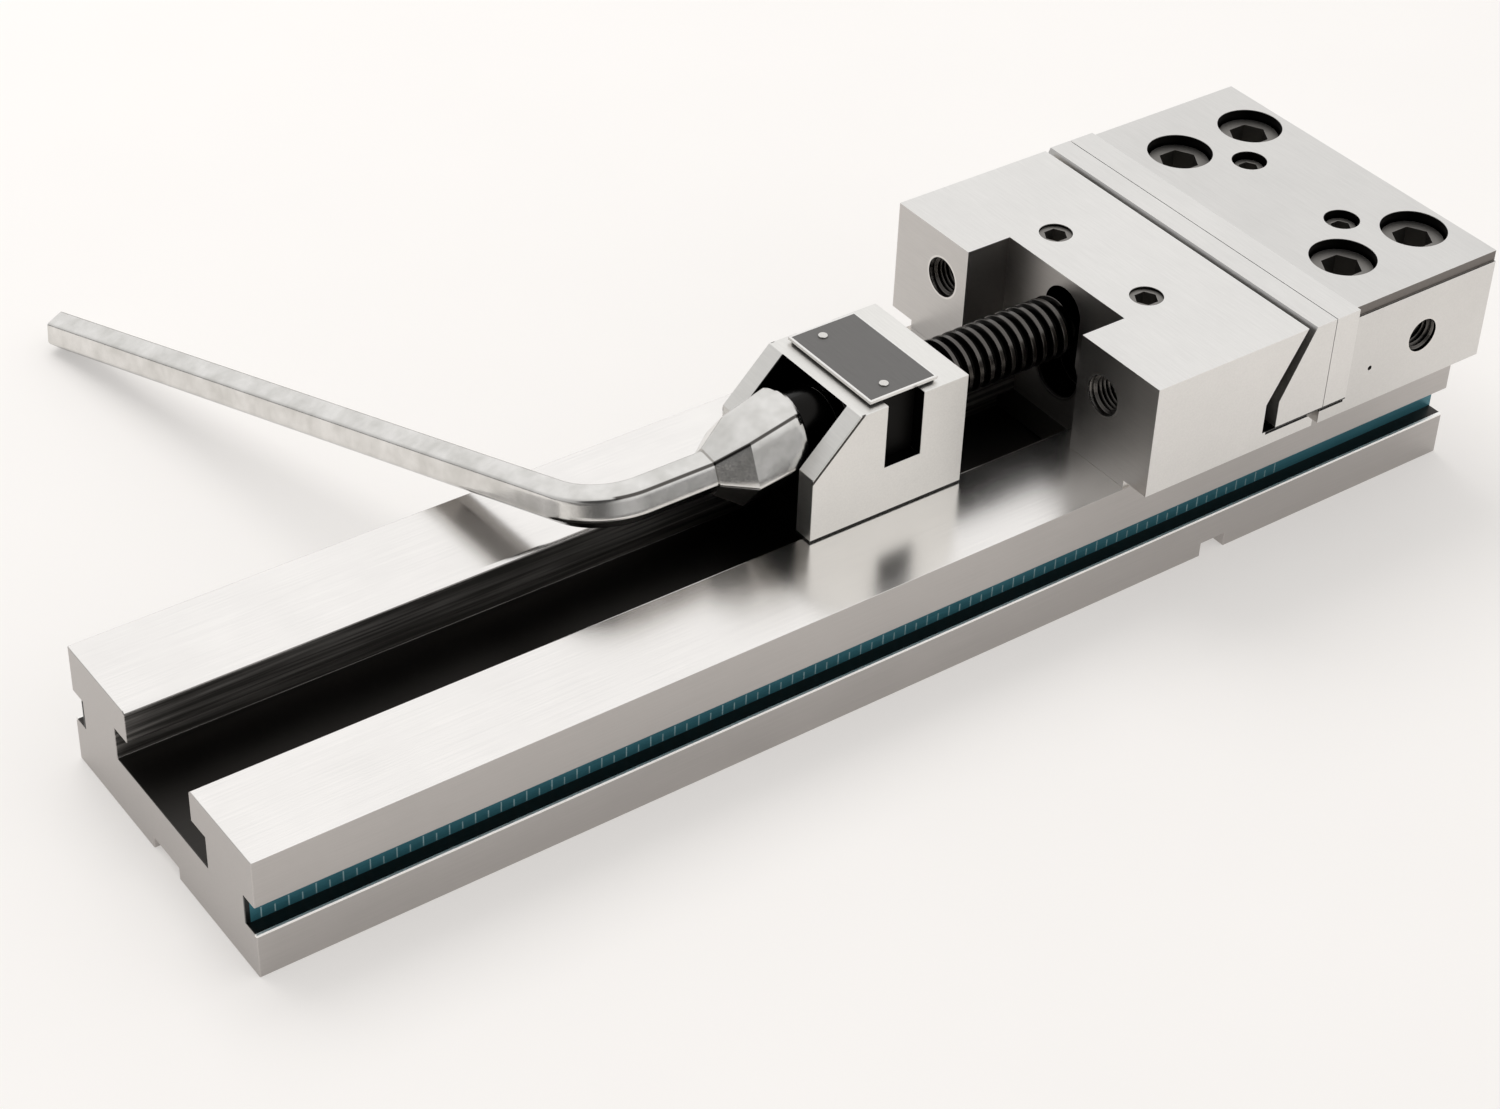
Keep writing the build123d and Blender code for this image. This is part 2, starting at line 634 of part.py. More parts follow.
with BuildPart() as bracket_shoe:
    with BuildSketch(Plane.XY.offset(slide_lip)):
        with Locations(((shoe_front + shoe_back) / 2, 0)):
            Rectangle(shoe_back - shoe_front, 2 * shoe_half)
    extrude(amount=shoe_bottom - slide_lip)
    with BuildSketch(Plane.XY.offset(slide_lip)):
        with Locations(*shoe_screw_places):
            Circle(shoe_screw_radius)
    extrude(amount=shoe_bottom - slide_lip, mode=Mode.SUBTRACT)
    with BuildSketch(Plane.XY.offset(shoe_bottom)):
        with Locations(*shoe_screw_places):
            Circle(head_ratio * shoe_screw_radius)
    extrude(amount=2 * shoe_screw_radius, mode=Mode.SUBTRACT)
bracket_shoe.part.label = "bracket_shoe"
export_step(bracket_shoe.part, "parts/bracket_shoe.step")

bracket_shoe_screws = socket_screws(shoe_screw_radius, shoe_grip + shoe_screw_reach,
                                    shoe_screw_places, shoe_bottom, up=-1)
bracket_shoe_screws.part.label = "bracket_shoe_screws"
export_step(bracket_shoe_screws.part, "parts/bracket_shoe_screws.step")

# Spindle: drive hexagon, collar, threaded length, neck and journal. The threaded length is
# as thick as the crests of its trapezoidal thread, whose grooves aren't cut here.
# The crank hangs down until the lowest corner of its free end reaches the table
bar_corner = bar_hex / sqrt(3)
droop = asin(axis_z / hypot(arm_reach, bar_corner)) - atan2(bar_corner, arm_reach)
across = (0, -cos(droop), sin(droop))
drive_plane = Plane(origin=(mouth_x, 0, axis_z), x_dir=across, z_dir=(-1, 0, 0))
with BuildPart() as spindle:
    with BuildSketch(Plane(origin=(0, 0, axis_z), x_dir=(1, 0, 0), z_dir=(0, -1, 0))):
        with BuildLine():
            fork_back_x = fork_x + fork_thickness
            Polyline((mouth_x, 0), (mouth_x, collar_radius), (thread_front, collar_radius),
                     (thread_front, thread_radius), (thread_back - thread_end_chamfer, thread_radius),
                     (thread_back, thread_radius - thread_end_chamfer), (thread_back, neck_radius),
                     (fork_x, neck_radius), (fork_x, fork_neck_radius),
                     (fork_back_x, fork_neck_radius), (fork_back_x, neck_radius),
                     (journal_back, neck_radius), (journal_back, 0), close=True)
        make_face()
    revolve(axis=Axis((0, 0, axis_z), (1, 0, 0)))
    with BuildSketch(drive_plane):
        RegularPolygon(drive_hex / 2, 6, major_radius=False, rotation=hex_turn)
    extrude(amount=drive_length)
spindle.part.label = "spindle"
export_step(spindle.part, "parts/spindle.step")

# Crank: hexagonal socket drawn down to a bent hexagonal bar
taper_end_x = mouth_x - socket_length - socket_taper
crank_plane = Plane(origin=(mouth_x, 0, axis_z), x_dir=(-1, 0, 0),
                    z_dir=(0, -sin(droop), -cos(droop)))
with BuildPart() as crank:
    with BuildSketch(drive_plane):
        RegularPolygon(socket_hex / 2, 6, major_radius=False, rotation=hex_turn)
    extrude(amount=socket_length)
    with BuildSketch(Plane(origin=(0, 0, axis_z), x_dir=(1, 0, 0), z_dir=(0, -1, 0))):
        with BuildLine():
            socket_corner = socket_hex / sqrt(3)
            Polyline((mouth_x, 0), (mouth_x, socket_corner - socket_mouth_chamfer),
                     (mouth_x - socket_mouth_length, socket_corner),
                     (mouth_x - socket_length, socket_corner),
                     (mouth_x - socket_length, 0), close=True)
        make_face()
    revolve(axis=Axis((0, 0, axis_z), (1, 0, 0)), mode=Mode.INTERSECT)
    with BuildSketch(drive_plane):
        RegularPolygon(drive_hex / 2, 6, major_radius=False, rotation=hex_turn)
    extrude(amount=drive_length + free_gap, mode=Mode.SUBTRACT)
    with BuildSketch(drive_plane.offset(socket_length)):
        RegularPolygon(socket_hex / 2, 6, major_radius=False, rotation=hex_turn)
    with BuildSketch(drive_plane.offset(socket_length + socket_taper)):
        RegularPolygon(bar_hex / 2, 6, major_radius=False, rotation=hex_turn)
    loft()
    with BuildLine(crank_plane) as bar_path:
        FilletPolyline((socket_length + socket_taper, 0), (bar_bend_from_mouth, 0),
                       (bar_bend_from_mouth + arm_forward, arm_reach),
                       radius=bar_bend_radius)
    with BuildSketch(drive_plane.offset(socket_length + socket_taper)):
        RegularPolygon(bar_hex / 2, 6, major_radius=False, rotation=hex_turn)
    sweep(path=bar_path.line)
    free_end = crank.faces().filter_by(GeomType.PLANE).sort_by(Axis.Y)[-1]
    chamfer(free_end.edges(), bar_end_chamfer)
crank.part.label = "crank"
export_step(crank.part, "parts/crank.step")
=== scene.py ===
"""Looks of the modular machine vise: finishes, screw threads, scale marks, light and camera.
Metres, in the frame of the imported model: +X along the rail to the fixed jaw, +Z up, rail underside at 0."""

import json
from math import atan2, ceil, cos, inf, pi, radians, sin, tan

import bmesh
import bpy
from mathutils import Matrix, Vector


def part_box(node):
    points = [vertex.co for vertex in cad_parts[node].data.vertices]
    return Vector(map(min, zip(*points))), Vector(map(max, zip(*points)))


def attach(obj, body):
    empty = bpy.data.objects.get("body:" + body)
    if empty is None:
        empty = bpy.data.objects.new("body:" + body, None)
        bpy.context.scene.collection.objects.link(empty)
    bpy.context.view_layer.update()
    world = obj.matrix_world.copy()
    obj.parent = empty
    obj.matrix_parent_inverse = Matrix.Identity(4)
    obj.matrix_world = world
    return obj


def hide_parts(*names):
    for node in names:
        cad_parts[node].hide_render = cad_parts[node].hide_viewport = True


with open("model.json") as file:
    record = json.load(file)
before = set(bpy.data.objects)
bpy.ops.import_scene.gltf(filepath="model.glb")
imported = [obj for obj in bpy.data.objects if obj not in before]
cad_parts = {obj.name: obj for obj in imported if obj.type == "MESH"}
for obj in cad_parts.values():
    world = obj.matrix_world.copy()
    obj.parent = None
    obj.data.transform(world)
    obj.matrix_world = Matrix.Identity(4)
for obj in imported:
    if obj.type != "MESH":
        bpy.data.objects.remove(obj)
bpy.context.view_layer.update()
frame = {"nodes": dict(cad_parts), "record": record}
MM = 0.001

# Places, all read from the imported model
rail_low, rail_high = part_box("rail")
strip_low, strip_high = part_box("scale_strips")
bracket_low, bracket_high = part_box("spindle_bracket")
plate_low, plate_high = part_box("cover_plate")
fixed_low, fixed_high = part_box("fixed_jaw")
jaw_low, jaw_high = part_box("movable_jaw")
insert_low, insert_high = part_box("fixed_insert")
mounts = {mount["name"]: mount for mount in frame["record"]["mounts"]}
openings = {box["name"]: box["box_m"] for box in frame["record"]["physics"]["openings"]}
notch_high = openings["notch_left"][1]

# Points closer than this are one point
WELD = 0.002 * MM

# Camera: fitted to the edges of the vise in the photograph, which is 1500 pixels wide
CAMERA_PLACE = (-577.52 * MM, -729.22 * MM, 734.50 * MM)
CAMERA_YAW = radians(37.042)
CAMERA_PITCH = radians(37.620)
CAMERA_ROLL = radians(2.3765)
SENSOR_WIDTH = 36.0
FOCAL_LENGTH = 76.206
SHIFT_Y = -0.00111


def make_camera():
    """The camera at the photograph's place, tilted down and slightly rolled."""
    forward = Vector((cos(CAMERA_PITCH) * sin(CAMERA_YAW), cos(CAMERA_PITCH) * cos(CAMERA_YAW),
                      -sin(CAMERA_PITCH)))
    level_right = Vector((cos(CAMERA_YAW), -sin(CAMERA_YAW), 0.0))
    level_up = level_right.cross(forward)
    right = level_right * cos(CAMERA_ROLL) + level_up * sin(CAMERA_ROLL)
    up = level_up * cos(CAMERA_ROLL) - level_right * sin(CAMERA_ROLL)
    data = bpy.data.cameras.new("camera")
    data.sensor_width = SENSOR_WIDTH
    data.lens = FOCAL_LENGTH
    data.shift_y = SHIFT_Y
    data.clip_start = 0.01
    data.clip_end = 50.0
    camera = bpy.data.objects.new("camera", data)
    camera.matrix_world = (Matrix.Translation(Vector(CAMERA_PLACE))
                           @ Matrix((right, up, -forward)).transposed().to_4x4())
    bpy.context.scene.collection.objects.link(camera)
    bpy.context.scene.camera = camera


# Colours and nodes

def linear(hex_colour):
    """A colour as linear red, green, blue and alpha from its sRGB hex value."""
    channels = [int(hex_colour[i:i + 2], 16) / 255 for i in (1, 3, 5)]
    return [c / 12.92 if c <= 0.04045 else ((c + 0.055) / 1.055) ** 2.4 for c in channels] + [1.0]


def add(tree, kind, *wires, **settings):
    """Adds a shader node. A setting is a property of the node, or else one of its sockets by name. Wires
    fill the open sockets in order: each is a value, a socket, or a node, whose first open output counts."""
    node = tree.nodes.new("ShaderNode" + kind)
    for key in [key for key in settings if key in node.bl_rna.properties]:
        setattr(node, key, settings.pop(key))
    pairs = list(zip([socket for socket in node.inputs if socket.enabled], wires))
    pairs += [(node.inputs[key.replace("_", " ")], value) for key, value in settings.items()]
    for socket, value in pairs:
        if isinstance(value, bpy.types.Node):
            value = next(output for output in value.outputs if output.enabled)
        if isinstance(value, bpy.types.NodeSocket):
            tree.links.new(value, socket)
        else:
            socket.default_value = value
    return node


def new_material(name):
    """An empty node material and its tree."""
    material = bpy.data.materials.new(name)
    material.use_nodes = True
    material.node_tree.nodes.clear()
    return material, material.node_tree


def surface(tree, height, depth, **sockets):
    """Ends a material in the principled shader, with a bump of that depth in millimetres."""
    bump = add(tree, "Bump", Height=height, Strength=1.0, Distance=depth * MM)
    shader = add(tree, "BsdfPrincipled", Normal=bump, **sockets)
    add(tree, "OutputMaterial", Surface=shader)


def uneven(tree, x, y, z, detail=3.0):
    """Uneven marks from 0 to 1. x, y and z are their lengths along each axis in millimetres."""
    place = add(tree, "TexCoord").outputs["Object"]
    stretched = add(tree, "Mapping", Vector=place, Scale=[1 / (size * MM) for size in (x, y, z)])
    return add(tree, "TexNoise", Vector=stretched, Scale=1.0, Detail=detail, Roughness=0.6)


def worn_edge(tree, radius):
    """1 on edges and corners, falling to 0 on flat faces: the bent normal against the true one."""
    likeness = add(tree, "VectorMath", add(tree, "Bevel", samples=4, Radius=radius * MM),
                   add(tree, "NewGeometry").outputs["Normal"], operation="DOT_PRODUCT")
    return add(tree, "MapRange", likeness, 0.98, 0.80, 0.0, 1.0)


def in_box(tree, **spans):
    """1 inside spans in metres of x, y and z. A span of y counts on both sides of the vise."""
    place = add(tree, "SeparateXYZ", add(tree, "TexCoord").outputs["Object"])
    mask = None
    for axis, (low, high) in spans.items():
        along = place.outputs["xyz".index(axis)]
        if axis == "y":
            along = add(tree, "Math", along, operation="ABSOLUTE")
        step = add(tree, "Math", along, (low + high) / 2, (high - low) / 2, operation="COMPARE")
        mask = step if mask is None else add(tree, "Math", mask, step, operation="MULTIPLY")
    return mask


def round_bore(tree, centre, axis, inner, outer):
    """1 between two radii in millimetres round an axis through a point, on both sides of the vise."""
    place = add(tree, "VectorMath", add(tree, "TexCoord").outputs["Object"], operation="ABSOLUTE")
    offset = add(tree, "VectorMath", place, [abs(part) for part in centre], operation="SUBTRACT")
    across = add(tree, "VectorMath", offset, [1 - abs(part) for part in axis], operation="MULTIPLY")
    distance = add(tree, "VectorMath", across, operation="LENGTH")
    return add(tree, "Math", distance, (inner + outer) / 2 * MM, (outer - inner) / 2 * MM,
               operation="COMPARE")


def facing(tree, axis, least=0.7):
    """1 on faces whose normal runs along an axis, either way."""
    normal = add(tree, "NewGeometry").outputs["True Normal"]
    along = add(tree, "VectorMath", normal, axis, operation="DOT_PRODUCT")
    size = add(tree, "Math", along, operation="ABSOLUTE")
    return add(tree, "Math", size, least, operation="GREATER_THAN")


def either(tree, *masks):
    """1 where any of the masks is 1."""
    result = masks[0]
    for mask in masks[1:]:
        result = add(tree, "Math", result, mask, operation="MAXIMUM")
    return result


def without(tree, mask, less):
    """The first mask where the second is 0."""
    return add(tree, "Math", mask, less, operation="SUBTRACT", use_clamp=True)


# Spindle thread: right-hand trapezoidal, 24 mm across and 5 mm a turn
SPINDLE_AXIS_Z = 80.0 * MM
THREAD_START = -1.6 * MM
THREAD_END = 111.4 * MM
THREAD_PITCH = 5.0 * MM
CREST_RADIUS = 12.0 * MM
ROOT_RADIUS = 9.4 * MM
COLLAR_RADIUS = 13.0 * MM
COLLAR_START = -6.6 * MM
# the mouth of the crank's socket, and how deep the collar ends inside it
MOUTH_X = -14.5 * MM
COLLAR_SUNK = 0.6 * MM
NECK_RADIUS = 9.0 * MM
END_CHAMFER = 1.5 * MM
THREAD_STEPS = 72
THREAD_WELD = 0.004 * MM
# one turn of the thread's section: share of the pitch along the axis, share of the depth
THREAD_SECTION = ((0.0, 0.92), (0.04, 1.0), (0.33, 1.0), (0.37, 0.92), (0.46, 0.06), (0.49, 0.0),
                  (0.88, 0.0), (0.91, 0.06))


# Areas of the ground pieces that look different

BLACKENED = "#3B3937"
# Painted shade for hollows, holes, wells and joints where little light reaches
PAINTED_SHADE = "#1B1A19"
# Painted highlight standing for the light on chamfers at hole mouths
CHAMFER_HIGHLIGHT = "#D9D6D2"
# How far an area reaches past the skin of a face, behind the wall of a hollow, and out into the air
SKIN = 0.15 * MM
BEHIND = 0.6 * MM
AIR = 1.0 * MM
# What an area leaves pale along an outer edge: a hair, a narrow rim or a broad one
HAIR = 0.1 * MM
RIM = 0.3 * MM
BROAD_RIM = 0.5 * MM

# Where the rail's black starts below its top and inside its sides
BLACK_BELOW_TOP = 0.9 * MM
BLACK_INSIDE_SIDE = 0.25 * MM
# The painted highlight along a side groove's lower lip: its depth, and its reach below and above the groove's
# lower edge
LIP_DEPTH = 1.2 * MM
LIP_BELOW = 0.8 * MM
LIP_ABOVE = 0.12 * MM


def rail_hollows(tree):
    """The T slot and both side grooves, which the maker left black."""
    mouth = openings["rail_slot_mouth_front"][1][1] + BROAD_RIM
    under_low, under_high = openings["rail_slot_front"]
    slot = in_box(tree, y=(-mouth, mouth), z=(strip_low.z, rail_high.z - BLACK_BELOW_TOP))
    under = in_box(tree, y=(0.0, under_high[1] + BROAD_RIM),
                   z=(under_low[2] - 2 * SKIN, under_high[2] + BEHIND))
    groove = in_box(tree, y=(strip_high.y - 2 * BEHIND, rail_high.y - BLACK_INSIDE_SIDE),
                    z=(strip_low.z - SKIN, strip_high.z + SKIN))
    return without(tree, either(tree, slot, under, groove), facing(tree, (1.0, 0.0, 0.0)))


def groove_lip_highlights(tree):
    """The lower lips of the side grooves, painted bright as a highlight where their edge catches the light.
    """
    return in_box(tree, y=(rail_high.y - LIP_DEPTH, rail_high.y + SKIN),
                  z=(strip_low.z - LIP_BELOW, strip_low.z + LIP_ABOVE))


def slot_wall_reflections(tree):
    """Grey streaks painted on the upright walls inside the T slot, standing for reflections there."""
    streaks = add(tree, "MapRange", uneven(tree, 90, 1.6, 1.6), 0.42, 0.70, 0.30, 1.0)
    walls = add(tree, "Math", rail_hollows(tree), facing(tree, (0.0, 1.0, 0.0)), operation="MULTIPLY")
    return add(tree, "Math", walls, streaks, operation="MULTIPLY")


def upright_faces(tree):
    """Every face but the level ones."""
    level = facing(tree, (0.0, 0.0, 1.0))
    return add(tree, "Math", 1.0, level, operation="SUBTRACT")


def rear_face_shade(tree):
    """Faces square to the rail, painted a little darker as shade."""
    return facing(tree, (1.0, 0.0, 0.0))


# Height of the painted shadow along the bracket's foot
FOOT_SHADOW_HEIGHT = 0.9 * MM


def bracket_foot_shadow(tree):
    """Painted shadow along the bracket's foot, where it stands on the rail."""
    return in_box(tree, z=(rail_high.z - AIR, rail_high.z + FOOT_SHADOW_HEIGHT))


def bracket_hollow_shade(tree):
    """Painted shade in the hollow for the crank socket, open to the sides at the window."""
    half = openings["socket_channel_low"][1][1] + BEHIND
    return in_box(tree, y=(0.0, half), z=(bracket_low.z - AIR, bracket_high.z - HAIR))


WINDOW_NEAR_X = 10.2 * MM
WINDOW_FAR_X = 26.6 * MM
WINDOW_FOOT_Z = 70.2 * MM


def bracket_window_shade(tree):
    """Painted shade on the walls of both windows in the bracket's sides."""
    return in_box(tree, x=(WINDOW_NEAR_X, WINDOW_FAR_X), y=(0.0, bracket_high.y - RIM),
                  z=(WINDOW_FOOT_Z, bracket_high.z - RIM))


# The line along the bracket's bevel lies where z less x is between these
BEVEL_LINE_START = 96.9 * MM
BEVEL_LINE_END = 98.5 * MM


def bevel_rim(tree):
    """The dark line down the bracket's sides along its bevel."""
    place = add(tree, "TexCoord").outputs["Object"]
    across = add(tree, "VectorMath", place, (-1.0, 0.0, 1.0), operation="DOT_PRODUCT")
    inside = add(tree, "Math", across, BEVEL_LINE_START, operation="GREATER_THAN")
    outside = add(tree, "Math", across, BEVEL_LINE_END, operation="LESS_THAN")
    line = add(tree, "Math", inside, outside, operation="MULTIPLY")
    side = in_box(tree, y=(bracket_high.y - BROAD_RIM, bracket_high.y + AIR))
    return add(tree, "Math", line, side, operation="MULTIPLY")


# Keyhole slot in the rear of the movable jaw: the centre of its round low end, half its width, its depth
KEYHOLE_LOW_Z = 59.0 * MM
KEYHOLE_HALF = 12.5 * MM
KEYHOLE_DEPTH = 30.0 * MM
# its painted shade starts this far behind the notch's floor and ends this far below the jaw's top
KEYHOLE_SET_BACK = 0.4 * MM
KEYHOLE_BELOW_TOP = 2.0 * MM
# the painted highlight of the chamfer round the low end: two radii in millimetres, its depth, and its reach
# down and up
KEYHOLE_RIM = (11.8, 12.9)
KEYHOLE_RIM_DEPTH = 1.5 * MM
KEYHOLE_RIM_DOWN = 14.0 * MM
KEYHOLE_RIM_UP = 4.0 * MM


def keyhole(tree):
    """The keyhole slot round the spindle neck, darkened with painted shade."""
    mouth = notch_high[0] + KEYHOLE_SET_BACK
    return in_box(tree, x=(mouth, mouth + KEYHOLE_DEPTH), y=(0.0, KEYHOLE_HALF),
                  z=(jaw_low.z - AIR, jaw_high.z - KEYHOLE_BELOW_TOP))


def keyhole_rim_highlight(tree):
    """A painted highlight standing for the chamfer round the keyhole's low end, bright against the shaded
    notch.
    """
    rim = round_bore(tree, (notch_high[0], 0.0, KEYHOLE_LOW_Z), (1.0, 0.0, 0.0), *KEYHOLE_RIM)
    low = in_box(tree, x=(notch_high[0] - AIR, notch_high[0] + KEYHOLE_RIM_DEPTH),
                 z=(KEYHOLE_LOW_Z - KEYHOLE_RIM_DOWN, KEYHOLE_LOW_Z + KEYHOLE_RIM_UP))
    return add(tree, "Math", rim, low, operation="MULTIPLY")


NOTCH_SIDE_REACH = 0.8 * MM


def notch_wall_shade(tree):
    """Painted shade on the walls of the notch in the rear of the movable jaw, where the spindle comes in."""
    return in_box(tree, x=(jaw_low.x + BEHIND, notch_high[0] + BEHIND),
                  y=(0.0, notch_high[1] + NOTCH_SIDE_REACH), z=(jaw_low.z, jaw_high.z - BROAD_RIM))


# The painted highlight standing for the chamfer at the mouth of a threaded hole lies this far outside its
# thread, in millimetres
CHAMFER_INNER = 0.1
CHAMFER_OUTER = 0.8


def hole_wall_shade(mount):
    """The wall of a threaded hole, without the face that it opens in, darkened with painted shade."""
    radius = mount["dims"]["r_mm"]
    return lambda tree: without(tree, round_bore(tree, mount["pos_m"], mount["axis"], 0.0,
                                                 radius + CHAMFER_INNER),
                                facing(tree, mount["axis"]))


def hole_chamfer_highlight(mount):
    """A painted highlight in a ring at the mouth of a threaded hole, standing for its narrow chamfer."""
    radius = mount["dims"]["r_mm"]
    return lambda tree: round_bore(tree, mount["pos_m"], mount["axis"], radius + CHAMFER_INNER,
                                   radius + CHAMFER_OUTER)


# Wells sunk in the jaws' tops for screw heads, in millimetres: place along X, place across, radius
BOLT_WELLS = ((211.9, 46.0, 13.0), (249.3, 46.0, 13.0), (230.6, 26.0, 7.0))
GRUB_WELLS = ((131.2, 26.0, 6.5),)
WELL_DEPTH = 20 * MM


def screw_well_shade(wells, top):
    """Painted shade on the walls of the wells, below the top face."""
    def mask(tree):
        rounds = [round_bore(tree, (x * MM, y * MM, top), (0.0, 0.0, 1.0), 0.0, radius + RIM / MM)
                  for x, y, radius in wells]
        below = in_box(tree, z=(top - WELL_DEPTH, top - RIM))
        return add(tree, "Math", either(tree, *rounds), below, operation="MULTIPLY")
    return mask


# The shelves below the inserts: their height, that of the inserts' undersides, and where they start
# in front of the movable jaw's rear
SHELF_Z = 59.5 * MM
INSERT_Z = 60.2 * MM
SHELF_START = 58.0 * MM
SHELF_SHADOW = 1.3 * MM


def shelf_tops(tree):
    """The tops of the shelves, painted dark as a shadow line below the inserts."""
    level = facing(tree, (0.0, 0.0, 1.0))
    return add(tree, "Math", level, in_box(tree, z=(SHELF_Z - SKIN, SHELF_Z + SKIN)),
               operation="MULTIPLY")


def shelf_edges(tree):
    """The shadow gap along the shelves' upper edges, below the inserts."""
    return in_box(tree, x=(jaw_low.x + SHELF_START, insert_high.x),
                  z=(SHELF_Z - SHELF_SHADOW, SHELF_Z + SKIN))


def shelf_ends(tree):
    """The chamfered ends of both shelves, painted dark with shadow where they meet."""
    slope = cos(radians(45))
    chamfers = either(tree, facing(tree, (slope, 0.0, slope), 0.9),
                      facing(tree, (-slope, 0.0, slope), 0.9))
    ends = in_box(tree, x=(jaw_low.x + SHELF_START, insert_high.x), z=(rail_high.z, SHELF_Z + SKIN))
    return add(tree, "Math", chamfers, ends, operation="MULTIPLY")


def insert_foot_shade(tree):
    """The undersides of the inserts, darkened with painted shade."""
    return in_box(tree, z=(SHELF_Z - SKIN, INSERT_Z + BEHIND))


REBATE_DEPTH = 0.9 * MM
REBATE_HEIGHT = 4.6 * MM


def side_rebate(tree):
    """The shallow step along the top of the fixed jaw's sides."""
    return in_box(tree, y=(fixed_high.y - REBATE_DEPTH, fixed_high.y - HAIR),
                  z=(fixed_high.z - REBATE_HEIGHT, fixed_high.z - HAIR))


# How much of the thread's outer skin the nut has polished, in millimetres
CREST_WEAR = 0.25


def thread_crests(tree):
    """The outermost skin of the spindle's threaded length."""
    centre = (0.0, 0.0, SPINDLE_AXIS_Z)
    crest = round_bore(tree, centre, (1.0, 0.0, 0.0), CREST_RADIUS / MM - CREST_WEAR,
                       (CREST_RADIUS + HAIR) / MM)
    return add(tree, "Math", crest, in_box(tree, x=(THREAD_START, THREAD_END)), operation="MULTIPLY")


# Finishes

# Fine grinding across the vise: length of its marks along X, Y and Z in millimetres
FINE_GRIND = (0.7, 14, 0.7)
WORN_JAW_EDGE = "#EDEBE8"
# Painted shadow on the jaws' shelves below the inserts
SHELF_SHADOWS = ((shelf_tops, PAINTED_SHADE, 0.5), (shelf_edges, PAINTED_SHADE, 0.5),
                 (shelf_ends, PAINTED_SHADE, 0.5))


def ground_steel(name, colour, worn, roughness, grind, *areas):
    """Hardened steel, ground flat. grind is the length of its grinding marks along X, Y and Z, drawn a few
    times coarser than the real ones so that they show. An area is a mask, its colour and its roughness."""
    material, tree = new_material(name)
    marks = uneven(tree, *grind)
    # clouding a few centimetres wide, left by oil and handling
    cloud = uneven(tree, 38, 38, 38, detail=4.0)
    shade = add(tree, "MapRange", add(tree, "Math", marks, cloud), 0.7, 1.3, 0.94, 1.03)
    base, rough = linear(colour), roughness
    for mask, area_colour, area_roughness in areas:
        inside = mask(tree)
        base = add(tree, "Mix", inside, base, linear(area_colour), data_type="RGBA")
        rough = add(tree, "Mix", inside, rough, area_roughness, data_type="FLOAT")
    base = add(tree, "Mix", 1.0, base, shade, data_type="RGBA", blend_type="MULTIPLY")
    pale = add(tree, "Mix", 1.0, base, linear(worn), data_type="RGBA", blend_type="SCREEN")
    base = add(tree, "Mix", add(tree, "Math", worn_edge(tree, 0.6), 0.35, operation="MULTIPLY"), base,
               pale, data_type="RGBA")
    rough = add(tree, "Math", rough, add(tree, "MapRange", cloud, 0.35, 0.7, -0.02, 0.03))
    surface(tree, marks, 0.0006, Base_Color=base, Roughness=rough, Metallic=1.0)
    return material


def make_rail_steel():
    """Surface ground on top: a soft mirror. Its upright faces are coloured greyer and duller."""
    return ground_steel("surface_ground_rail_steel", "#EFECE9", "#F4F2EF", 0.22, (40, 0.5, 0.5),
                        (upright_faces, "#B9B5B2", 0.38), (rail_hollows, BLACKENED, 0.38),
                        # painted reflections streaking the slot walls, and a painted highlight on the groove
                        # lips
                        (slot_wall_reflections, "#C4C0BC", 0.6), (groove_lip_highlights, "#FFFDFA", 0.5))


def make_fixed_jaw_steel():
    """Finely ground and slightly matt: pale warm grey with a faint grain."""
    hole = mounts["side_hole_left"]
    return ground_steel("fine_ground_fixed_jaw_steel", "#D6D4D1", WORN_JAW_EDGE, 0.34, FINE_GRIND,
                        (side_rebate, "#75706C", 0.4), (hole_chamfer_highlight(hole), CHAMFER_HIGHLIGHT, 0.3),
                        (hole_wall_shade(hole), PAINTED_SHADE, 0.4), *SHELF_SHADOWS,
                        (screw_well_shade(BOLT_WELLS, fixed_high.z), PAINTED_SHADE, 0.4))


def make_movable_jaw_steel():
    """The same fine grinding, a little darker with painted shade on the faces square to the rail."""
    hole = mounts["rear_hole_left"]
    return ground_steel("fine_ground_movable_jaw_steel", "#E1DFDC", WORN_JAW_EDGE, 0.34, FINE_GRIND,
                        (rear_face_shade, "#C4C1BE", 0.34), (notch_wall_shade, "#BAB6B2", 0.40),
                        (hole_chamfer_highlight(hole), CHAMFER_HIGHLIGHT, 0.3), (hole_wall_shade(hole), PAINTED_SHADE, 0.4),
                        (keyhole, PAINTED_SHADE, 0.4), (keyhole_rim_highlight, "#A5A19D", 0.3), *SHELF_SHADOWS,
                        (screw_well_shade(GRUB_WELLS, jaw_high.z), PAINTED_SHADE, 0.4))


def make_insert_steel():
    """Jaw inserts ground together with their jaws."""
    return ground_steel("fine_ground_insert_steel", "#DEDCD9", WORN_JAW_EDGE, 0.34, FINE_GRIND,
                        (insert_foot_shade, PAINTED_SHADE, 0.5))


def make_bracket_steel():
    """The bracket's fine ground faces, with painted shade in its hollow and windows and a painted shadow
    along its foot.
    """
    return ground_steel("fine_ground_bracket_steel", "#E6E4E0", "#ECEAE6", 0.36, (0.7, 10, 0.7),
                        (bracket_hollow_shade, PAINTED_SHADE, 0.4), (bracket_foot_shadow, PAINTED_SHADE, 0.5),
                        (bevel_rim, "#4A4744", 0.5), (bracket_window_shade, PAINTED_SHADE, 0.4))


def make_pin_steel():
    """Turned and polished steel of pins and rivets: small bright mirrors."""
    return ground_steel("polished_pin_steel", "#D8D5D1", "#ECEAE7", 0.18, (0.2, 0.2, 0.2))


def make_thread_steel():
    """Tapped walls of the jaws' holes, coloured dark."""
    return ground_steel("oily_tapped_steel", "#54514E", "#8A8682", 0.28, (3, 3, 3))


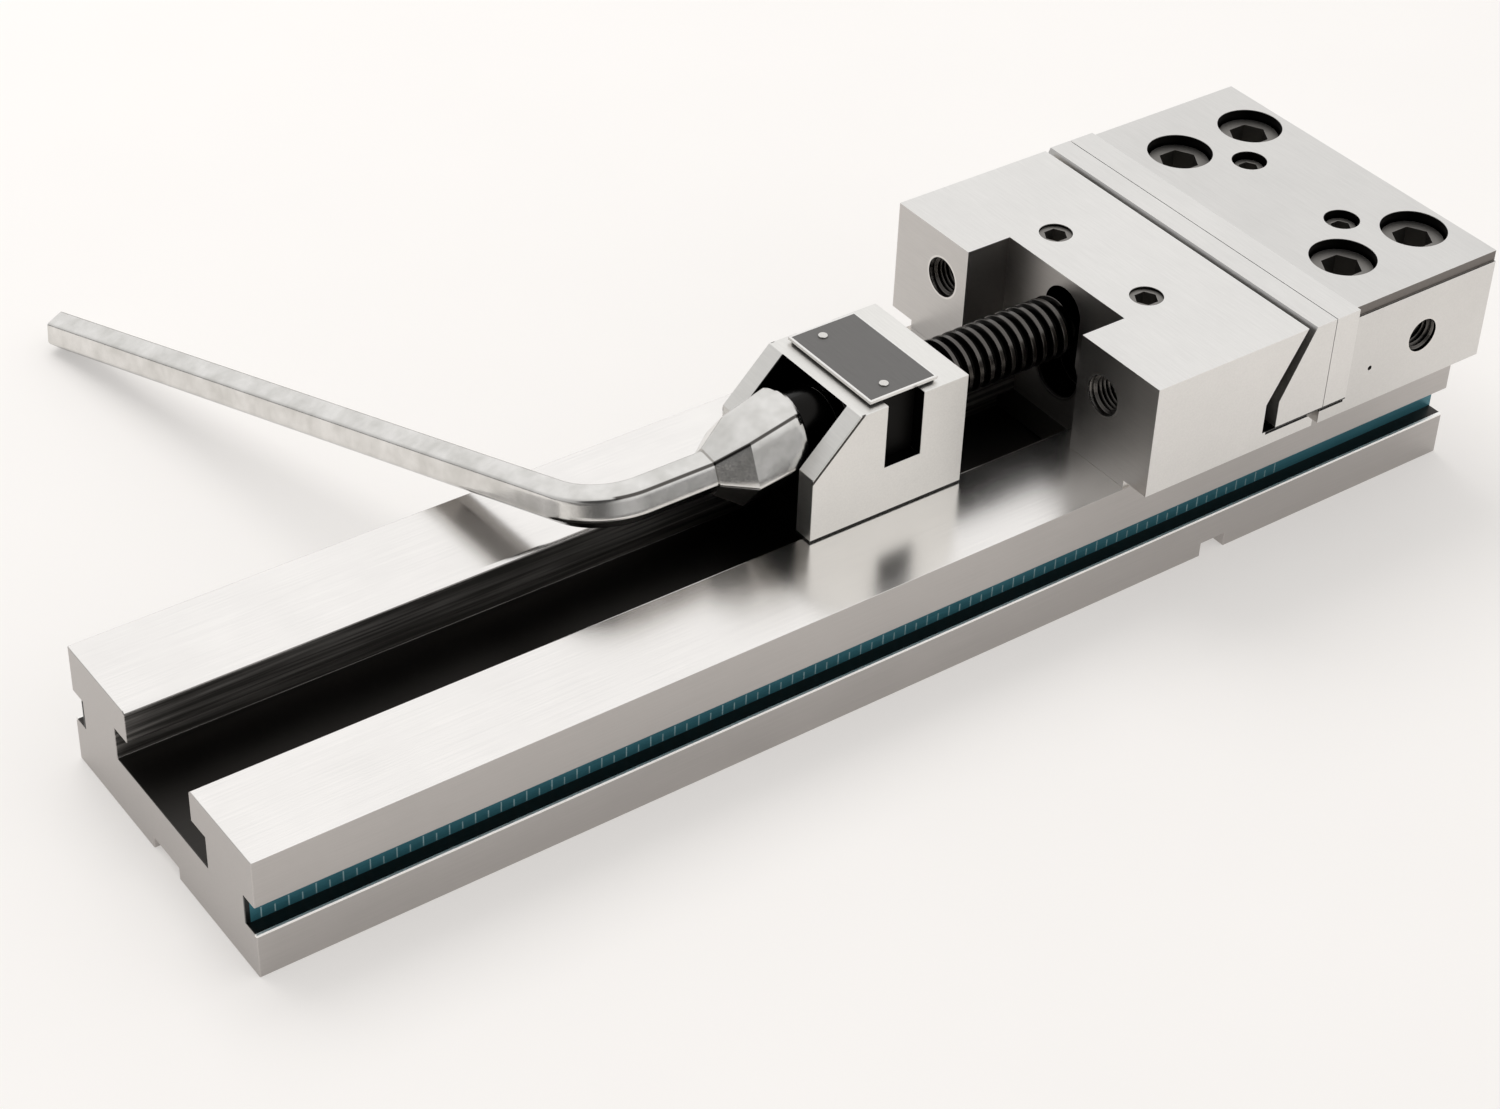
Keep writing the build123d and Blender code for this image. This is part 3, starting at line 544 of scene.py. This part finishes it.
def make_spindle_steel():
    """Blackened spindle. The nut has polished the crests of its thread grey, and the roots stay black."""
    return ground_steel("blackened_spindle_steel", "#1D1C1B", "#8E8A86", 0.22, (6, 6, 6),
                        (thread_crests, "#5A5754", 0.22))


def make_black_oxide():
    """Blackened steel of screws, nut and keeper: dark grey with an oily gloss, paler on worn edges."""
    return ground_steel("black_oxide_steel", "#827F7B", "#A29E9A", 0.40, (4, 4, 4))


def make_nut_black():
    """Phosphated black of the nut and shoe inside the bracket: matt and nearly without reflections."""
    return ground_steel("black_phosphate_steel", "#1E1D1C", "#3A3836", 0.5, (5, 5, 5))


# The float value of the crank's mesh that marks where a dark reflection is painted along its corners
DARK_CORNER_REFLECTION = "die_seam"


def make_zinc_plate():
    """Bright zinc over drawn hexagonal bar: a clear mirror with faint waves and lengthwise drawing marks,
    with a dark reflection painted along two corners and painted shade darkening its underside."""
    material, tree = new_material("bright_zinc_plate")
    waves = uneven(tree, 9, 9, 9, detail=2.0)
    marks = uneven(tree, 0.6, 25, 0.6)
    base = add(tree, "Mix", add(tree, "MapRange", waves, 0.3, 0.7, 0.0, 1.0), linear("#CBC9C5"),
               linear("#DFDDDA"), data_type="RGBA")
    # painted dark reflection along two corners
    corner_reflection = add(tree, "Attribute", attribute_name=DARK_CORNER_REFLECTION).outputs["Fac"]
    base = add(tree, "Mix", corner_reflection, base, linear("#55524F"), data_type="RGBA")
    # painted shade, darker on faces that point down
    up = add(tree, "SeparateXYZ", add(tree, "TexCoord").outputs["Normal"]).outputs[2]
    underside_shade = add(tree, "MapRange", up, -0.4, -0.65, 0.0, 0.9)
    base = add(tree, "Mix", underside_shade, base, linear("#7C7976"), data_type="RGBA")
    relief = add(tree, "Math", waves, add(tree, "Math", marks, 0.03, operation="MULTIPLY"))
    surface(tree, relief, 0.03, Base_Color=base, Metallic=1.0,
            Roughness=add(tree, "MapRange", marks, 0.3, 0.7, 0.13, 0.21))
    return material


# Length of the painted shade at a strip's near end
STRIP_SHADE = 1.6 * MM


def make_anodised_strip():
    """Blue-green anodised aluminium, rolled along its length: a dull metallic sheen."""
    material, tree = new_material("anodised_aluminium_strip")
    marks = uneven(tree, 30, 0.3, 0.3)
    base = add(tree, "Mix", add(tree, "MapRange", marks, 0.3, 0.7, 0.0, 1.0), linear("#35707D"),
               linear("#417F8D"), data_type="RGBA")
    # painted shade at the strip's near end
    end = in_box(tree, x=(rail_low.x - AIR, rail_low.x + STRIP_SHADE))
    base = add(tree, "Mix", end, base, linear("#101414"), data_type="RGBA")
    surface(tree, marks, 0.002, Base_Color=base, Metallic=0.4,
            Roughness=add(tree, "MapRange", marks, 0.3, 0.7, 0.30, 0.40))
    return material


PLATE_BORDER = 0.9 * MM


def make_plate_face():
    """Aluminium plate printed dark grey, with a bare bright border."""
    material, tree = new_material("printed_aluminium_plate")
    printed = in_box(tree, x=(plate_low.x + PLATE_BORDER, plate_high.x - PLATE_BORDER),
                     y=(0.0, (plate_high.y - plate_low.y) / 2 - PLATE_BORDER),
                     z=(plate_high.z - SKIN, plate_high.z + AIR))
    marks = uneven(tree, 0.25, 12, 0.25)
    bare = add(tree, "Mix", marks, linear("#DCDAD7"), linear("#F4F2EF"), data_type="RGBA")
    ink = add(tree, "Mix", marks, linear("#4C4A48"), linear("#605E5C"), data_type="RGBA")
    surface(tree, marks, 0.002,
            Base_Color=add(tree, "Mix", printed, bare, ink, data_type="RGBA"),
            Roughness=add(tree, "MapRange", printed, 0.0, 1.0, 0.30, 0.38),
            Metallic=add(tree, "MapRange", printed, 0.0, 1.0, 1.0, 0.0))
    return material


def make_foam_rubber():
    """Black foam rubber tape under the plate: no shine and a fine open grain."""
    material, tree = new_material("black_foam_rubber")
    cells = uneven(tree, 0.4, 0.4, 0.4)
    surface(tree, cells, 0.05, Roughness=0.9,
            Base_Color=add(tree, "Mix", cells, linear("#0F0F0F"), linear("#1E1E1E"), data_type="RGBA"))
    return material


def make_white_ink():
    """White filling of the engraved scale marks, slightly uneven."""
    material, tree = new_material("white_scale_ink")
    spots = uneven(tree, 0.5, 0.5, 0.5)
    surface(tree, spots, 0.004, Roughness=0.55,
            Base_Color=add(tree, "Mix", spots, linear("#7FA6AD"), linear("#A6C2C7"), data_type="RGBA"))
    return material


# Edges of the machined pieces, broken by hand: width in millimetres
EDGE_BREAKS = {
    "rail": 0.4, "fixed_jaw": 0.12, "movable_jaw": 0.3, "fixed_insert": 0.05,
    "movable_insert": 0.05, "spindle_bracket": 0.7, "lead_nut": 0.3, "cover_plate": 0.15,
    "bracket_shoe": 0.3, "jaw_keeper": 0.3, "fixed_jaw_bolts": 0.45, "jaw_plug_screws": 0.25,
    "jaw_grub_screws": 0.35, "plate_rivets": 0.25, "spindle_fork": 0.3,
}


def break_edges(node, width):
    """Rounds a machined piece's sharp edges by modifiers, with its flat faces kept flat to the eye."""
    piece = frame["nodes"][node]
    weld = piece.modifiers.new("weld", "WELD")
    weld.merge_threshold = WELD
    flat = piece.modifiers.new("flat", "DECIMATE")
    flat.decimate_type = "DISSOLVE"
    flat.angle_limit = radians(0.5)
    bevel = piece.modifiers.new("edge_break", "BEVEL")
    bevel.width = width * MM
    bevel.segments = 2
    bevel.limit_method = "ANGLE"
    bevel.angle_limit = radians(35)
    bevel.use_clamp_overlap = True
    normals = piece.modifiers.new("normals", "WEIGHTED_NORMAL")
    normals.keep_sharp = False


def dress_nodes():
    """Gives every CAD node its finish. Screws, nut, shoe, keeper and spindle are blackened."""
    insert_steel, pin_steel, oxide = make_insert_steel(), make_pin_steel(), make_black_oxide()
    plain_black = make_nut_black()
    finishes = {
        "rail": make_rail_steel(), "scale_strips": make_anodised_strip(),
        "fixed_jaw": make_fixed_jaw_steel(), "movable_jaw": make_movable_jaw_steel(),
        "fixed_insert": insert_steel, "movable_insert": insert_steel,
        "spindle_bracket": make_bracket_steel(), "cover_plate": make_plate_face(),
        "plate_gasket": make_foam_rubber(), "plate_rivets": pin_steel, "guide_pins": pin_steel,
        "spindle_fork": pin_steel, "lead_nut": plain_black, "bracket_shoe": plain_black,
    }
    for name, piece in frame["nodes"].items():
        piece.data.materials.clear()
        piece.data.materials.append(finishes.get(name, oxide))
        for face in piece.data.polygons:
            face.material_index = 0
        if name in EDGE_BREAKS:
            break_edges(name, EDGE_BREAKS[name])


# Modelled detail

def new_piece(name, verts, faces, material, body, smooth=True):
    """A mesh piece that rides on a body."""
    mesh = bpy.data.meshes.new(name)
    mesh.from_pydata(verts, [], faces)
    mesh.validate()
    mesh.materials.append(material)
    for face in mesh.polygons:
        face.use_smooth = smooth
    piece = bpy.data.objects.new(name, mesh)
    bpy.context.scene.collection.objects.link(piece)
    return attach(piece, body)


# Thread in the tapped holes: right-hand, 2 mm a turn, a ridge with its foot sunk a hair into the wall
HOLE_PITCH = 2.0 * MM
HOLE_STEPS = 40
HOLE_RIDGE = 0.55 * HOLE_PITCH
RIDGE_FOOT_HALF = 0.46 * HOLE_PITCH
RIDGE_CREST_HALF = 0.07 * HOLE_PITCH
RIDGE_SUNK = 0.02 * MM
FIRST_TURN = 0.4 * HOLE_PITCH


def thread_in_hole(name, material):
    """A screw thread lining a hole: a ridge of blunt triangular section wound down the wall."""
    mount = mounts[name]
    centre = Vector(mount["pos_m"])
    out = Vector(mount["axis"])
    side = out.orthogonal().normalized()
    other = out.cross(side)
    radius = mount["dims"]["r_mm"] * MM
    depth = mount["dims"]["length_mm"] * MM
    profile = [(RIDGE_SUNK, -RIDGE_FOOT_HALF), (-HOLE_RIDGE, -RIDGE_CREST_HALF),
               (-HOLE_RIDGE, RIDGE_CREST_HALF), (RIDGE_SUNK, RIDGE_FOOT_HALF)]
    verts, faces = [], []
    count = ceil((depth - HOLE_PITCH) / HOLE_PITCH * HOLE_STEPS)
    for i in range(count + 1):
        angle = 2 * pi * i / HOLE_STEPS
        along = FIRST_TURN + HOLE_PITCH * i / HOLE_STEPS
        radial = side * cos(angle) - other * sin(angle)
        # the first turn grows from nothing at the mouth
        growth = min(1.0, i / HOLE_STEPS)
        for rise, offset in profile:
            verts.append(centre + radial * (radius + rise * (growth if rise < 0 else 1.0))
                         - out * (along + offset))
    rows = len(profile)
    for i in range(count):
        for j in range(rows):
            a = i * rows + j
            b = i * rows + (j + 1) % rows
            faces.append((a, b, b + rows, a + rows))
    faces.append(tuple(range(rows)))
    faces.append(tuple(reversed(range(count * rows, count * rows + rows))))
    body = "rail" if centre.x > fixed_low.x else "movable_jaw"
    new_piece("thread_" + name, verts, faces, material, body, smooth=False)


def cut_spindle(material):
    """The spindle with its thread cut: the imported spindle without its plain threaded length, and a helical
    skin of trapezoidal section in its place."""
    turns = ceil((THREAD_END - THREAD_START) / THREAD_PITCH) + 2
    mesh = bmesh.new()
    mesh.from_mesh(frame["nodes"]["spindle"].data)
    slack = 0.02 * MM
    plain = [face for face in mesh.faces
             if all(THREAD_START - slack < v.co.x < THREAD_END + slack
                    and Vector((v.co.y, v.co.z - SPINDLE_AXIS_Z)).length > NECK_RADIUS - HAIR
                    for v in face.verts)]
    bmesh.ops.delete(mesh, geom=plain, context="FACES")
    for face in mesh.faces:
        face.smooth = False
    # the collar reaches out to the mouth of the crank, which the scene has further out
    for vert in mesh.verts:
        if abs(vert.co.x - COLLAR_START) < slack:
            vert.co.x = MOUTH_X + COLLAR_SUNK
    columns = []
    for i in range(THREAD_STEPS):
        angle = 2 * pi * i / THREAD_STEPS
        column = [(THREAD_START, COLLAR_RADIUS)]
        for turn in range(-1, turns):
            for share, height in THREAD_SECTION:
                x = THREAD_START + THREAD_PITCH * (turn + share + i / THREAD_STEPS)
                x = min(max(x, THREAD_START), THREAD_END)
                chamfered = CREST_RADIUS - max(0.0, x - (THREAD_END - END_CHAMFER))
                column.append((x, min(ROOT_RADIUS + (CREST_RADIUS - ROOT_RADIUS) * height, chamfered)))
        column.append((THREAD_END, NECK_RADIUS))
        columns.append([mesh.verts.new((x, r * cos(angle), SPINDLE_AXIS_Z + r * sin(angle)))
                        for x, r in column])
    length = len(columns[0])
    # the last column meets the first one a whole turn further on
    shift = len(THREAD_SECTION)
    for i in range(THREAD_STEPS):
        here, there = columns[i], columns[(i + 1) % THREAD_STEPS]
        step = shift if i == THREAD_STEPS - 1 else 0
        for j in range(length - 1):
            a, b = here[j], here[j + 1]
            c = there[0 if j == 0 else min(j + step, length - 1)]
            d = there[min(j + 1 + step, length - 1)]
            corners = list(dict.fromkeys((a, b, d, c)))
            if len(corners) > 2:
                face = mesh.faces.new(corners)
                face.smooth = True
    bmesh.ops.remove_doubles(mesh, verts=[v for column in columns for v in column], dist=THREAD_WELD)
    bmesh.ops.dissolve_degenerate(mesh, edges=mesh.edges, dist=THREAD_WELD)
    bmesh.ops.recalc_face_normals(mesh, faces=mesh.faces)
    data = bpy.data.meshes.new("threaded_spindle")
    mesh.to_mesh(data)
    mesh.free()
    data.materials.append(material)
    for face in data.polygons:
        face.material_index = 0
    data.set_sharp_from_angle(angle=radians(40))
    spindle = bpy.data.objects.new("threaded_spindle", data)
    bpy.context.scene.collection.objects.link(spindle)
    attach(spindle, "spindle")
    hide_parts("spindle")


# Crank, with lengths along its centre line from the socket's mouth, and halves of widths across the flats
CRANK_DROOP = radians(13.7)
# the loose socket tips down on its drive hexagon, and the arm comes down almost to the rail's edge
SOCKET_SAG = 4.8 * MM
ARM_SAG = 4.0 * MM
ARM_DROOP = radians(12.94)
CORNER_TURN = radians(40)
SOCKET_HALF = 16.0 * MM
SOCKET_END_HALF = 14.8 * MM
SOCKET_LENGTH = 22.0 * MM
TAPER_LENGTH = 11.3 * MM
TAPER_END_HALF = 7.7 * MM
BAR_HALF = 7.0 * MM
DRIVE_HALF = 9.5 * MM
DRIVE_DEPTH = 18.0 * MM
MOUTH_RADIUS = 15.475 * MM
MOUTH_CHAMFER = 4.2 * MM
MOUTH_TO_BEND_CORNER = 80.1 * MM
BEND_RADIUS = 22.0 * MM
ARM_FORWARD = 63.7 * MM
ARM_REACH = 308.0 * MM
BEND_STEPS = 24
DRIVE_CORNER = 0.4 * MM
SOCKET_CORNER = 1.6 * MM
BAR_CORNER = 1.7 * MM
# the rounded tip of the arm: distance before the end, cut off half the width, radius of the corners
ARM_TIP = ((2.5 * MM, 0.0, BAR_CORNER), (1.25 * MM, 0.9 * MM, 2.4 * MM), (0.0, 2.5 * MM, 3.2 * MM))
# places round a hexagonal section, and those of its first corner, along which a dark reflection is painted
RING_PLACES = 60
CORNER_REFLECTION_PLACES = (1, 2, 3)
FORGED_SHARP = radians(19)


def hexagon_radii(half, corner):
    """Angles of the places round a hexagon with rounded corners, each with its distance from the centre.
    half is half its width across the flats, corner the radius of its corners."""
    arm = (half - corner) / cos(pi / 6)
    arc_half = atan2(corner * sin(pi / 6), arm + corner * cos(pi / 6))
    places = []
    for side in range(6):
        middle = CORNER_TURN + side * pi / 3
        for i in range(-2, 3):
            turn = arc_half * i / 2
            places.append((middle + turn, arm * cos(turn)
                           + max(0.0, corner ** 2 - (arm * sin(turn)) ** 2) ** 0.5))
        for i in range(1, 6):
            turn = arc_half + (pi / 3 - 2 * arc_half) * i / 6
            places.append((middle + turn, half / cos(pi / 6 - turn)))
    return places


def crank_sections():
    """Places along the crank: distance, half width, corner radius, the largest radius there and sag."""
    bar_start = SOCKET_LENGTH + TAPER_LENGTH
    wide = SOCKET_HALF / cos(pi / 6)
    sections = [(DRIVE_DEPTH, DRIVE_HALF, DRIVE_CORNER, wide, 0.0),
                (0.0, DRIVE_HALF, DRIVE_CORNER, wide, 0.0)]
    for share in (0.0, 0.25, 0.5, 0.75, 1.0):
        sections.append((MOUTH_CHAMFER * share, SOCKET_HALF, SOCKET_CORNER,
                         MOUTH_RADIUS + (wide - MOUTH_RADIUS) * share,
                         SOCKET_SAG * MOUTH_CHAMFER * share / SOCKET_LENGTH))
    sections += [(SOCKET_LENGTH, SOCKET_END_HALF, SOCKET_CORNER, wide, SOCKET_SAG),
                 (bar_start, TAPER_END_HALF, BAR_CORNER, wide, SOCKET_SAG),
                 (bar_start, BAR_HALF, BAR_CORNER, wide, SOCKET_SAG)]
    return sections


def forged_crank(material):
    """The crank with its corners rounded as forging and plating leave them: hexagonal socket, taper down
    to a small shoulder, and bent hexagonal bar."""
    forward = Vector((-1.0, 0.0, 0.0))
    aside = Vector((0.0, cos(CRANK_DROOP), -sin(CRANK_DROOP)))
    upward = Vector((0.0, sin(CRANK_DROOP), cos(CRANK_DROOP)))
    sideways = Vector((0.0, cos(ARM_DROOP), -sin(ARM_DROOP)))
    mouth = Vector((MOUTH_X, 0.0, SPINDLE_AXIS_Z))
    bend = atan2(ARM_REACH, ARM_FORWARD)
    tangent_length = BEND_RADIUS * tan(bend / 2)
    bend_start = MOUTH_TO_BEND_CORNER - tangent_length
    verts, rings = [], []

    def ring(centre, turn, half, corner, largest=inf):
        """Adds one hexagonal section across the crank, turned round with its bend."""
        inward = forward * sin(turn) - aside * cos(turn)
        first = len(verts)
        for angle, radius in hexagon_radii(half, corner):
            radius = min(radius, largest)
            verts.append(centre + (inward * cos(angle) + upward * sin(angle)) * radius)
        rings.append(range(first, len(verts)))

    for along, half, corner, largest, sag in crank_sections():
        ring(mouth + forward * along - Vector((0.0, 0.0, sag)), 0.0, half, corner, largest)
    for i in range(BEND_STEPS + 1):
        turn = bend * i / BEND_STEPS
        centre = (mouth + forward * (bend_start + BEND_RADIUS * sin(turn))
                  + sideways * BEND_RADIUS * (1 - cos(turn))
                  - Vector((0.0, 0.0, SOCKET_SAG + (ARM_SAG - SOCKET_SAG) * i / BEND_STEPS)))
        ring(centre, turn, BAR_HALF, BAR_CORNER)
    arm = Vector((ARM_FORWARD, ARM_REACH)).length
    heading = forward * cos(bend) + sideways * sin(bend)
    corner_place = mouth + forward * MOUTH_TO_BEND_CORNER - Vector((0.0, 0.0, ARM_SAG))
    for before, cut, corner in ARM_TIP:
        ring(corner_place + heading * (arm - before), bend, BAR_HALF - cut, corner)
    faces = [tuple(reversed(rings[0])), tuple(rings[-1])]
    for here, there in zip(rings, rings[1:]):
        for i in range(len(here)):
            j = (i + 1) % len(here)
            faces.append((here[i], here[j], there[j], there[i]))
    crank = new_piece("forged_crank", verts, faces, material, "spindle")
    mesh = bmesh.new()
    mesh.from_mesh(crank.data)
    # a dark reflection is painted along two opposite corners and ends a third of the way round the bend
    corner_reflection_rings = len(crank_sections()) + BEND_STEPS // 3
    corner_reflection = mesh.verts.layers.float.new(DARK_CORNER_REFLECTION)
    mesh.verts.ensure_lookup_table()
    for vert in mesh.verts:
        on_corner_reflection = vert.index % (RING_PLACES // 2) in CORNER_REFLECTION_PLACES
        vert[corner_reflection] = float(on_corner_reflection and vert.index < RING_PLACES * corner_reflection_rings)
    bmesh.ops.remove_doubles(mesh, verts=mesh.verts, dist=WELD)
    bmesh.ops.recalc_face_normals(mesh, faces=mesh.faces)
    mesh.to_mesh(crank.data)
    mesh.free()
    crank.data.set_sharp_from_angle(angle=FORGED_SHARP)
    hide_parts("crank")


# Marks on the strips: one for each step of so many millimetres, every second one longer
TICK_STEP = 5
TICK_FOOT = 0.3 * MM
TICK_WIDTH = 0.45 * MM
TICK_LONG = 4.4 * MM
TICK_SHORT = 3.2 * MM
TICK_RAISE = 0.04 * MM


def scale_marks(material):
    """Plain marks along both strips, counted from the fixed jaw's clamping face."""
    verts, faces = [], []
    foot = strip_low.z + TICK_FOOT
    for side in (-1, 1):
        wall = side * (strip_high.y + TICK_RAISE)
        for step in range(0, int((insert_low.x - rail_low.x) / MM), TICK_STEP):
            height = TICK_LONG if step % (2 * TICK_STEP) == 0 else TICK_SHORT
            x = insert_low.x - step * MM
            start = len(verts)
            verts += [(x - TICK_WIDTH / 2, wall, foot), (x + TICK_WIDTH / 2, wall, foot),
                      (x + TICK_WIDTH / 2, wall, foot + height),
                      (x - TICK_WIDTH / 2, wall, foot + height)]
            faces.append(tuple(range(start, start + 4)))
    new_piece("scale_marks", verts, faces, material, "rail", smooth=False)


# Stage, light and world

PAPER_WHITE = "#F8F5F2"
PAPER_LIFT = 0.45
FLOOR_HALF = 12.0
FLOOR_DROP = 0.02 * MM
WORLD_LEVEL = 1.05
KEY_PLACE = (-0.05, 1.05, 1.8)
KEY_TARGET = (0.08, 0.0, 0.0)
KEY_WIDTH = 1.7
KEY_HEIGHT = 1.2
KEY_WATTS = 21.5


def make_floor():
    """Pale paper floor. Part of its white comes from the paper glowing to the eye and in the metal, so that
    the shadow on it stays light."""
    material, tree = new_material("pale_paper_floor")
    mottle = uneven(tree, 120, 120, 120)
    paper = add(tree, "BsdfDiffuse", Roughness=0.5,
                Color=add(tree, "Mix", mottle, linear("#F3F0ED"), linear("#F7F4F1"), data_type="RGBA"))
    glow = add(tree, "Emission", linear(PAPER_WHITE), 1.0)
    ray = add(tree, "LightPath").outputs
    seen = either(tree, ray["Is Camera Ray"], ray["Is Glossy Ray"], ray["Is Transmission Ray"])
    share = add(tree, "Math", seen, PAPER_LIFT, operation="MULTIPLY")
    add(tree, "OutputMaterial", Surface=add(tree, "MixShader", share, paper, glow))
    corners = [(x * FLOOR_HALF, y * FLOOR_HALF, 0) for x, y in ((-1, -1), (1, -1), (1, 1), (-1, 1))]
    mesh = bpy.data.meshes.new("floor")
    mesh.from_pydata(corners, [], [(0, 1, 2, 3)])
    mesh.materials.append(material)
    floor = bpy.data.objects.new("floor", mesh)
    floor.location.z = -FLOOR_DROP
    bpy.context.scene.collection.objects.link(floor)


def make_key_softbox():
    """The key light: a large softbox above and behind the vise, aimed at its middle."""
    data = bpy.data.lights.new("key_softbox", "AREA")
    data.shape = "RECTANGLE"
    data.size = KEY_WIDTH
    data.size_y = KEY_HEIGHT
    data.energy = KEY_WATTS
    lamp = bpy.data.objects.new("key_softbox", data)
    # hidden from reflections, where a wide diffuser has no hard edge
    lamp.visible_glossy = False
    lamp.location = KEY_PLACE
    lamp.rotation_euler = (Vector(KEY_TARGET) - Vector(KEY_PLACE)).to_track_quat("-Z", "Y").to_euler()
    bpy.context.scene.collection.objects.link(lamp)


def make_world():
    """A pale studio, dimmer towards the rail's open end. A dark skirting low down and the dark gap behind
    the camera draw the dark lines in bright metal."""
    world = bpy.data.worlds.new("studio")
    bpy.context.scene.world = world
    world.use_nodes = True
    tree = world.node_tree
    tree.nodes.clear()
    direction = add(tree, "TexCoord").outputs["Generated"]
    height = add(tree, "SeparateXYZ", direction).outputs[2]
    rise = add(tree, "MapRange", height, 0.02, 0.22, 0.10, 1.0, interpolation_type="SMOOTHSTEP")
    along = add(tree, "VectorMath", direction, (1.0, 0.2, 0.0), operation="DOT_PRODUCT")
    side = add(tree, "MapRange", along, -0.9, 0.3, 0.6, 1.0, interpolation_type="SMOOTHSTEP")
    gap = add(tree, "VectorMath", direction, (-0.58, -0.59, 0.57), operation="DOT_PRODUCT")
    lit = add(tree, "MapRange", gap, 0.82, 0.94, 1.0, 0.12, interpolation_type="SMOOTHSTEP")
    strength = add(tree, "Math", add(tree, "Math", rise, side, operation="MULTIPLY"), lit,
                   operation="MULTIPLY")
    level = add(tree, "Math", strength, WORLD_LEVEL, operation="MULTIPLY")
    background = add(tree, "Background", Color=linear("#FFFFFF"), Strength=level)
    add(tree, "OutputWorld", Surface=background)


def main():
    """Builds the whole scene."""
    make_camera()
    make_world()
    make_floor()
    make_key_softbox()
    dress_nodes()
    thread_steel = make_thread_steel()
    for name in ("rear_hole_left", "rear_hole_right", "side_hole_left", "side_hole_right"):
        thread_in_hole(name, thread_steel)
    cut_spindle(make_spindle_steel())
    forged_crank(make_zinc_plate())
    scale_marks(make_white_ink())


main()
bpy.context.scene.view_settings.view_transform = "Standard"
